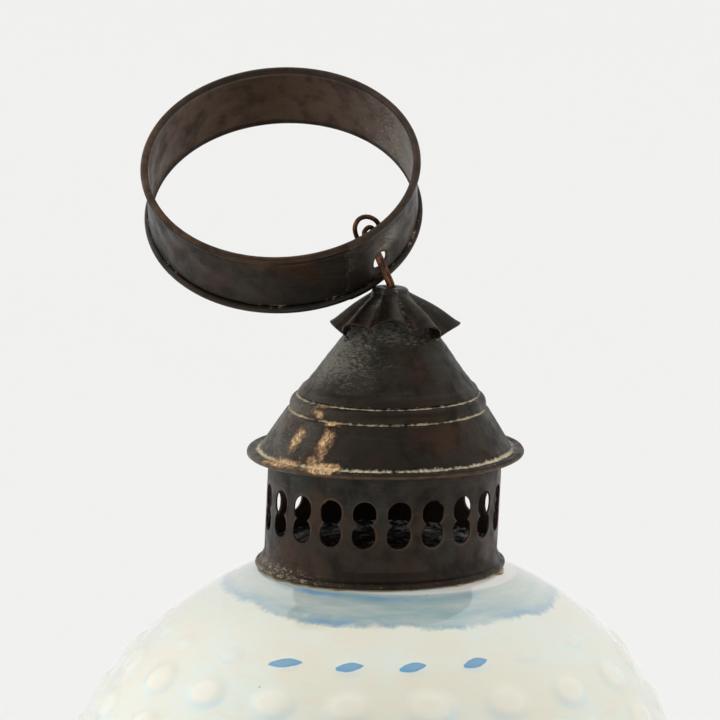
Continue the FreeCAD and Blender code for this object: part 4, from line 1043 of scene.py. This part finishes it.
class LANTERN_OT_smoke_cap(bpy.types.Operator):
    """Build the crimped smoke cap and the solder drops at its creases"""

    bl_idname = "lantern.smoke_cap"
    bl_label = "Smoke cap"

    def execute(self, context):
        look = context.scene.lantern_roof
        angle = np.linspace(0, TURN, 384, endpoint=False)
        outer = self.sheet(look, angle, 0.0)
        inner = self.sheet(look, angle, look.cap_wall)[:, ::-1]
        radius, drop, fold = (np.concatenate([a, b]) for a, b in zip(outer, inner))
        around = np.repeat(angle[None], len(radius), axis=0)
        points = around_axis(radius, CROWN_HEIGHT - drop, around)
        reach = np.hypot(points[:, 0], points[:, 1])
        points[:, 0] += look.cap_slip * smooth_step(6 * MM, 18 * MM, reach)
        crease = np.repeat(np.abs(np.cos(look.flutes / 2 * angle))[None], len(radius), axis=0)
        dirt = 0.52 * smooth_step(0.30, 0.0, crease) * smooth_step(0.05, 0.5, fold)
        dirt = np.maximum(dirt, 0.2 * smooth_step(0.93, 1.0, fold))
        dust = 0.42 * smooth_step(1.0, 0.2, fold) + 0.4 * smooth_step(0.5, 0.1, crease)
        # Lighter bands in the worn colour beside each crease. These are partly wear and partly a painted highlight
        # where the round folds turn to the light.
        wear_and_highlight = 0.6 * smooth_step(0.55, 0.05, np.abs(crease - 0.35) * 3) * fold
        quads = closed_grid(*radius.shape)[:, ::-1]
        fields = {"dirt": dirt, "dust": dust, "wear_and_highlight": wear_and_highlight}
        new_piece("smoke_cap", points, quads, "lantern", "copper", ["smoke_cap"], fields, 45)
        self.drops(look)
        return {"FINISHED"}

    def sheet(self, look, angle, depth):
        """Radius, fall below the crown and fold share of one face of the cap, depth inside its outer face.

        From the shoulder a share t runs down to the lower edge.  That edge swings with |cos(n a / 2)|, so
        flutes are round and creases sharp.  The front of the skirt is bent up and drawn in.
        """
        random = np.random.default_rng(5)
        flute = np.round(angle / TURN * look.flutes).astype(int) % look.flutes
        crest = np.abs(np.cos(look.flutes / 2 * angle)) ** 0.8
        front = bump(angle_gap(angle, -92), 0, 52)
        right = bump(angle_gap(angle, 4), 0, 30)
        reach = look.tip_radius + random.uniform(-0.8, 0.0, look.flutes)[flute] * MM * crest
        reach = reach + right * 1.9 * MM * crest - front * 2.6 * MM
        crease_drop = look.crease_drop - look.front_lift * front - MM
        tip_drop = look.tip_drop - look.front_lift * front - right * 0.6 * MM
        tip_drop = tip_drop + random.uniform(-0.5, 0.5, look.flutes)[flute] * MM
        seat_height = CROWN_HEIGHT - look.crease_drop - look.cap_wall + MM
        crease_radius = cone_radius(look, seat_height) + 0.3 * MM - front * MM
        low_radius = crease_radius + (reach - crease_radius) * crest
        low_drop = crease_drop + (tip_drop - crease_drop) * crest
        shoulder = look.shoulder + 0 * angle
        shoulder_drop = look.shoulder_drop - 0.25 * MM * (1 + np.cos(angle))
        flat = np.linspace(look.cap_hole, look.crown, 5)[:, None] + 0 * angle
        edge = np.zeros((5, 1)) + 0 * angle
        part = np.linspace(0, 1, 34)[:, None]
        radius = shoulder + (low_radius - shoulder) * part
        drop = shoulder_drop + (low_drop - shoulder_drop) * part ** 0.94
        swell = 0.9 * MM * np.sin(math.pi * np.minimum(part * 1.15, 1.0)) * (crest - 0.25)
        radius = radius + 0.5 * swell
        drop = drop - 0.8 * swell
        turn = np.linspace(0, math.pi / 2, 6)[1:-1, None]
        bend_radius = look.crown + (shoulder - look.crown) * np.sin(turn)
        bend_drop = shoulder_drop * (1 - np.cos(turn))
        radius = np.concatenate([flat, bend_radius, radius]) - 0.4 * depth
        drop = np.concatenate([edge, bend_drop, drop]) + depth
        fold = np.concatenate([0 * flat, 0 * bend_radius, part + 0 * angle])
        return np.stack([radius, drop, fold])

    def drops(self, look):
        """Solder drops: uneven flattened balls where a crease reaches the cone, sunk a little in it."""
        random = np.random.default_rng(8)
        rows, columns = np.linspace(0, math.pi, 15), np.linspace(0, TURN, 20, endpoint=False)
        polar, around = np.meshgrid(rows, columns, indexing="ij")
        low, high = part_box("cap_solder")
        height = (low.z + high.z) / 2 + 1.6 * MM
        reach = cone_radius(look, height) + 0.1 * MM
        clouds, faces = [], []
        for index in range(look.flutes):
            heading = TURN * (index + 0.5) / look.flutes
            if abs(angle_gap(heading, -90)) < 30:
                continue
            outward = np.array([math.cos(heading), math.sin(heading), 0])
            sideways = np.array([-math.sin(heading), math.cos(heading), 0])
            uneven = 1 + ripple(around, 40 + index, (2, 3), 0.09) * np.sin(polar)
            size = random.uniform(0.9, 1.25) * MM * uneven
            cloud = (size * np.sin(polar) * np.cos(around))[..., None] * sideways * 1.15
            cloud = cloud + (size * np.sin(polar) * np.sin(around))[..., None] * outward * 0.75
            cloud = cloud + (size * np.cos(polar))[..., None] * np.array([0, 0, 0.95])
            clouds.append((cloud + outward * reach + np.array([0, 0, height])).reshape(-1, 3))
            faces.append(tube_grid(*polar.shape) + len(faces) * polar.size)
        points = settled(np.vstack(clouds))
        weld(new_piece("cap_solder", points, np.vstack(faces), "lantern", "solder", ["cap_solder"]))


class LANTERN_OT_ring(bpy.types.Operator):
    """Build the broad hanging ring with its rolled edges, lap and punched hole"""

    bl_idname = "lantern.ring"
    bl_label = "Hanging ring"

    def execute(self, context):
        look = context.scene.lantern_ring
        half = look.roll_spacing / 2
        roll = look.roll - 0.01 * MM
        upper = arc((look.roll_circle, half), roll, -128, 172, 26)
        lower = arc((look.roll_circle, -half), roll, -172, 128, 26)
        outer = rounded([
            (*lower[-1], 0), (look.radius + 0.02 * MM, -half + 1.75 * MM, 0.3 * MM),
            (look.radius + 0.02 * MM, half - 3.1 * MM, 0.2 * MM),
            (look.radius - 0.1 * MM, half - 2.7 * MM, 0.2 * MM),
            (look.radius - 0.05 * MM, half - 1.6 * MM, 0.3 * MM), (*upper[0], 0),
        ])
        inner = rounded([
            (*upper[-1], 0), (look.radius - look.wall, half - 1.2 * MM, 0.5 * MM),
            (look.radius - look.wall, -half + 1.2 * MM, 0.5 * MM), (*lower[0], 0),
        ])
        outline = np.vstack([lower, evened(outer, 0.6 * MM)[1:-1], upper, evened(inner, 0.7 * MM)[1:-1]])
        radius, across, angle = turned(outline, 420)
        from_seam = np.degrees((angle - look.seam + math.pi) % TURN - math.pi)
        lap = 0.75 * MM * smooth_step(0, 0.4, from_seam) * smooth_step(17, 9, from_seam)
        inside = (radius < look.radius - 0.4 * look.wall) * (np.abs(across) < half - 0.9 * MM)
        sway = ripple(angle, 51, (2, 3), 0.12 * MM) + ripple(angle + across * 60, 52, (5, 8, 13), 0.07 * MM)
        on_band = smooth_step(half, half - 3 * MM, np.abs(across))
        wrapped = np.where(angle > math.pi, angle - TURN, angle)
        hole_gap = np.hypot(wrapped * look.radius, across - HOLE_OFFSET)
        dish = -0.5 * MM * np.exp(-((hole_gap / (6.5 * MM)) ** 2))
        off_band = smooth_step(0.2 * MM, 0.9 * MM, radius - look.roll_circle)
        rim_lap = 0.45 * lap * off_band * (1 + 0.7 * (across > 0))
        outer_face = on_band * (1 - inside)
        points = in_ring_frame(radius + sway * on_band + lap * outer_face + rim_lap + dish, across, wrapped)
        groove = bump(np.abs(across) / MM, (half - 1.75 * MM) / MM, 0.6) * (1 - inside)
        upper_share = np.where(across > 0, 0.3, 0.62)
        dirt = groove * upper_share * (0.8 + ripple(angle, 53, (3, 5, 9, 14), 0.25))
        seam_line = 0.45 * bump(from_seam, 0.2, 0.6) * (1 - inside) * on_band
        beside_seam = 0.5 * smooth_step(0, 0.4, from_seam) * smooth_step(10, 1, from_seam)
        beside_seam = beside_seam * (1 - inside) * (across > 0)
        dirt = np.maximum(dirt, seam_line)
        wear_and_highlight = 0.75 * smooth_step(half + 0.2 * MM, half + 1.2 * MM, np.abs(across))
        wear_and_highlight = wear_and_highlight * (0.45 + 0.55 * bump(np.degrees(wrapped), -130, 75))
        dust_hole = bump(wrapped * 48, 5.5, 6.5) * bump(across / MM, 4.5, 5.5) * (1 - inside)
        dust_hole = dust_hole + 0.5 * bump(hole_gap / MM, 5.0, 1.6) * (1 - inside)
        dust_inner = bump(np.degrees(wrapped), 62, 34) * inside
        specks = 0.45 * bump(np.degrees(wrapped), 70, 40) * inside
        dust = np.maximum(dust_hole, np.maximum(dust_inner, beside_seam))
        fields = {"dirt": dirt, "dust": dust, "inside": inside * 1.0, "specks": specks, "wear_and_highlight": wear_and_highlight}
        quads = closed_grid(*radius.shape)
        ring = new_piece("hanging_ring", points, quads, "ring", "copper", ["hanging_ring"], fields)
        self.punch(ring, look)
        return {"FINISHED"}

    def punch(self, ring, look):
        """Cut the link's hole: a round bar through the band, taken away from it."""
        sides = 40
        around = np.linspace(0, TURN, sides, endpoint=False)
        rim = np.cos(around)[:, None] * RING_ALONG + np.sin(around)[:, None] * RING_AXIS * 0.94
        reaches = np.array([-6, -6, 6, 6]) * MM
        widths = np.array([0, look.hole, look.hole, 0])
        rows = LINK_HOLE + reaches[:, None, None] * RING_OUTWARD + widths[:, None, None] * rim
        bar = new_piece("hole_bar", rows.reshape(-1, 3), tube_grid(4, sides), "ring", "copper", [])
        weld(bar)
        cut = ring.modifiers.new("hole", "BOOLEAN")
        cut.operation = "DIFFERENCE"
        cut.solver = "EXACT"
        cut.object = bar
        bpy.context.view_layer.update()
        whole = ring.evaluated_get(bpy.context.evaluated_depsgraph_get())
        mesh = bpy.data.meshes.new_from_object(whole)
        ring.modifiers.clear()
        ring.data = mesh
        mesh.name = "hanging_ring"
        mesh.set_sharp_from_angle(angle=math.radians(48))
        bpy.data.objects.remove(bar)
        if len(mesh.polygons) < 1000:
            raise RuntimeError("the link's hole took the ring away")


class LANTERN_OT_link(bpy.types.Operator):
    """Bend the wire link: two arms, two strands and a double-turned eye"""

    bl_idname = "lantern.link"
    bl_label = "Wire link"

    def execute(self, context):
        look = context.scene.lantern_ring
        crown = np.array([0, 0, CROWN_HEIGHT])
        up = np.array([0, 0, 1.0])
        bend = crown + up * 0.9 * MM
        along = unit(LINK_HOLE - bend)
        side = unit(HINGE - along * (HINGE @ along))
        face = np.cross(side, along)
        eye_side = side * math.cos(look.eye_turn) + face * math.sin(look.eye_turn)
        eye_face = np.cross(eye_side, along)
        under = crown - up * 2.4 * MM
        strand = 0.92 * MM
        ends = np.array([
            under - HINGE * look.arm, under - HINGE * 2.2 * MM, under - HINGE * strand + up * 0.4 * MM,
            crown - HINGE * strand, bend - HINGE * strand + up * 0.3 * MM,
        ])
        through = np.array([(-0.93, -4.0, 0.0), (-0.93, 0.0, 0.0), (-0.95, 2.6, 0.0)]) * MM
        eye = np.array([
            (-1.6, 5.6, 0.0), (-3.6, 8.4, 0.1), (-4.5, 11.6, 0.0), (-3.7, 15.0, -0.1), (-1.2, 16.9, -0.2),
            (1.8, 16.4, 0.0), (4.0, 13.8, 0.2), (4.1, 10.8, 0.6), (2.2, 8.7, 1.0), (-0.3, 8.6, 1.4),
            (-1.9, 10.2, 1.5), (-1.6, 12.2, 1.3), (0.3, 13.0, 0.9), (1.8, 11.8, 0.0), (1.9, 9.6, -0.8),
            (1.5, 6.6, -0.7),
        ]) * MM
        back = np.array([(0.95, 3.2, -0.1), (0.93, 0.0, 0.0), (0.93, -4.0, 0.0)]) * MM
        near_axes, eye_axes = np.stack([side, along, face]), np.stack([eye_side, along, eye_face])
        loop = LINK_HOLE + np.vstack([through @ near_axes, eye @ eye_axes, back @ near_axes])
        other = np.array([
            bend + HINGE * strand + up * 0.3 * MM, crown + HINGE * strand,
            under + HINGE * strand + up * 0.4 * MM, under + HINGE * 2.2 * MM, under + HINGE * look.arm,
        ])
        path = spline(np.vstack([ends, loop, other]), 8)
        rows = tube_points(path, look.wire, face, 16)
        faces = tube_grid(len(rows), 16)
        weld(new_piece("link_wire", rows.reshape(-1, 3), faces, "link", "copper_wire", ["link_wire"]))
        return {"FINISHED"}


class LANTERN_OT_plaster(bpy.types.Operator):
    """Build the crumbled plaster rings between the glass and the collars"""

    bl_idname = "lantern.plaster"
    bl_label = "Plaster"

    def execute(self, context):
        self.ring("upper_cement", 1, FOOT_HEIGHT, 61)
        self.ring("lower_cement", -1, 2 * GLOBE_MIDDLE - FOOT_HEIGHT, 62)
        return {"FINISHED"}

    def ring(self, node, way, foot, seed):
        """A closed outline along the neck, the glass and the collar, squeezed out unevenly at its lip."""
        neck = FOOT_RADIUS - 3.8 * MM
        wall = FOOT_RADIUS - 2.7 * MM
        ball = HOB_PEAK_RADIUS - 1.5 * MM + 0.08 * MM
        drop = math.sqrt(ball ** 2 - FOOT_RADIUS ** 2)
        centre_drop = abs(foot - GLOBE_MIDDLE)
        lip_radius = FOOT_RADIUS + 0.05 * MM
        on_glass = np.linspace(lip_radius, neck, 8)
        glass_rise = np.sqrt(ball ** 2 - on_glass ** 2) - centre_drop
        top = rounded([
            (neck, glass_rise[-1], 0), (neck, 7.4 * MM, 0.6 * MM), (wall, 7.2 * MM, 0.4 * MM),
            (wall, 4.6 * MM, 0.5 * MM), (FOOT_RADIUS - 1.5 * MM, 1.9 * MM, 0.4 * MM),
            (FOOT_RADIUS - 1.1 * MM, 0.2 * MM, 0.3 * MM), (lip_radius, -0.15 * MM, 0),
        ])
        outline = np.vstack([evened(top, 0.5 * MM), np.stack([on_glass, glass_rise], axis=1)[:-1]])
        radius, height, angle = turned(outline, 300)
        lip = smooth_step(FOOT_RADIUS - 0.9 * MM, FOOT_RADIUS, radius)
        squeeze = ripple(angle, seed, (3, 7, 12, 19, 31), 0.35 * MM) + 0.3 * MM
        squeeze = squeeze + 1.5 * MM * bump(angle_gap(angle, -14), 0, 9)
        squeeze = squeeze + 0.7 * MM * bump(angle_gap(angle, -120), 0, 14)
        grown = radius + lip * np.clip(squeeze, -0.3 * MM, 2.2 * MM)
        fall = np.sqrt(ball ** 2 - radius ** 2) - np.sqrt(ball ** 2 - grown ** 2)
        rise = np.where(lip > 0, height - lip * fall, height)
        crumbs = ripple(angle, seed + 1, (23, 37, 51), 0.08 * MM) * smooth_step(5 * MM, 7 * MM, height)
        points = settled(around_axis(grown, foot + way * (rise + crumbs), angle))
        quads = closed_grid(*radius.shape)
        if way < 0:
            quads = quads[:, ::-1]
        new_piece(node, points, quads, "lantern", "plaster", [node])


class LANTERN_OT_stage(bpy.types.Operator):
    """Set up the pale floor, the soft studio light and the camera"""

    bl_idname = "lantern.stage"
    bl_label = "Studio"

    def execute(self, context):
        look = context.scene.lantern_stage
        scene = context.scene
        scene.view_settings.view_transform = "Standard"
        self.floor(look)
        self.light(look, scene)
        self.camera(look, scene)
        return {"FINISHED"}

    def floor(self, look):
        """A wide level sheet just below the lantern's foot."""
        mesh = bpy.data.meshes.new("studio_floor")
        reach = 60.0
        corners = [(-reach, -reach, 0), (reach, -reach, 0), (reach, reach, 0), (-reach, reach, 0)]
        mesh.from_pydata(corners, [], [(0, 1, 2, 3)])
        mesh.materials.append(floor_finish(look.floor_shade))
        floor = bpy.data.objects.new("studio_floor", mesh)
        floor.location.z = -0.0005
        bpy.context.scene.collection.objects.link(floor)

    def light(self, look, scene):
        """A soft sky, dimmer from the front than from behind, with three broad soft lamps."""
        world = bpy.data.worlds.new("studio_sky")
        world.use_nodes = True
        tree = world.node_tree
        sky = tree.nodes["Background"]
        sky.inputs["Color"].default_value = (1.0, 0.995, 0.985, 1.0)
        heading = tree.nodes.new("ShaderNodeTexCoord")
        split = tree.nodes.new("ShaderNodeSeparateXYZ")
        tree.links.new(heading.outputs["Generated"], split.inputs[0])
        total = tree.nodes.new("ShaderNodeMath")
        total.operation = "ADD"
        fades = (("Y", -0.95, 0.25, look.sky_front, look.sky), ("X", -0.35, -0.95, 0.0, look.sky_left))
        for index, (axis, start, stop, low, high) in enumerate(fades):
            fade = smooth_range(tree, start, stop, low, high)
            tree.links.new(split.outputs[axis], fade.inputs["Value"])
            tree.links.new(fade.outputs["Result"], total.inputs[index])
        tree.links.new(total.outputs[0], sky.inputs["Strength"])
        scene.world = world
        self.lamp(scene, "soft_top", look.key, 60, (18, 0, 20))
        self.lamp(scene, "soft_left", look.left, 45, (66, 0, -82))
        self.lamp(scene, "soft_right", look.right, 40, (68, 0, 98))

    def lamp(self, scene, name, strength, width, turn):
        """A distant soft lamp; turn is its rotation in degrees from shining straight down."""
        light = bpy.data.lights.new(name, "SUN")
        light.energy = strength
        light.angle = math.radians(width)
        lamp = bpy.data.objects.new(name, light)
        lamp.rotation_euler = [math.radians(part) for part in turn]
        lamp.visible_glossy = False
        scene.collection.objects.link(lamp)

    def camera(self, look, scene):
        """A long lens that looks down by elevation at the aim, then is rolled, turned and raised."""
        aim = Vector((0, 0, look.aim_drop))
        ahead = Vector((0, math.cos(look.elevation), -math.sin(look.elevation)))
        level = Vector((1, 0, 0))
        above = level.cross(ahead)
        right = level * math.cos(look.roll) + above * math.sin(look.roll)
        up = above * math.cos(look.roll) - level * math.sin(look.roll)
        view = (ahead - right * math.tan(look.turn) + up * math.tan(look.lift)).normalized()
        right = (right - view * right.dot(view)).normalized()
        up = right.cross(view)
        data = bpy.data.cameras.new("camera")
        data.lens = look.lens
        data.sensor_width = 36
        data.clip_end = 200
        camera = bpy.data.objects.new("camera", data)
        turn = Matrix((right, up, -view)).transposed().to_4x4()
        camera.matrix_world = Matrix.Translation(aim - ahead * look.distance) @ turn
        scene.collection.objects.link(camera)
        scene.camera = camera


# ---------------------------------------------------------------- panel and registration
SETTINGS = {
    "lantern_copper": LanternCopper,
    "lantern_glass": LanternGlass,
    "lantern_collar": LanternCollar,
    "lantern_roof": LanternRoof,
    "lantern_ring": LanternRing,
    "lantern_stage": LanternStage,
}
OPERATORS = (
    LANTERN_OT_finishes,
    LANTERN_OT_globe,
    LANTERN_OT_roof,
    LANTERN_OT_vent_collar,
    LANTERN_OT_smoke_cap,
    LANTERN_OT_ring,
    LANTERN_OT_link,
    LANTERN_OT_plaster,
    LANTERN_OT_stage,
)


class LANTERN_PT_panel(bpy.types.Panel):
    """Lists the lantern's pieces and their settings"""

    bl_idname = "LANTERN_PT_panel"
    bl_label = "Hanging lantern"
    bl_space_type = "VIEW_3D"
    bl_region_type = "UI"
    bl_category = "Lantern"

    def draw(self, context):
        for operator in OPERATORS:
            self.layout.operator(operator.bl_idname)
        for name, group in SETTINGS.items():
            box = self.layout.box()
            box.label(text=group.__doc__)
            for setting in group.__annotations__:
                box.prop(getattr(context.scene, name), setting)


def register():
    for name, group in SETTINGS.items():
        bpy.utils.register_class(group)
        setattr(bpy.types.Scene, name, bpy.props.PointerProperty(type=group))
    for item in (*OPERATORS, LANTERN_PT_panel):
        bpy.utils.register_class(item)


def unregister():
    for item in (LANTERN_PT_panel, *reversed(OPERATORS)):
        bpy.utils.unregister_class(item)
    for name, group in reversed(SETTINGS.items()):
        delattr(bpy.types.Scene, name)
        bpy.utils.unregister_class(group)


def main():
    """Make every piece, in the order of OPERATORS."""
    register()
    for operator in OPERATORS:
        group, name = operator.bl_idname.split(".")
        getattr(getattr(bpy.ops, group), name)()


if __name__ == "__main__":
    main()
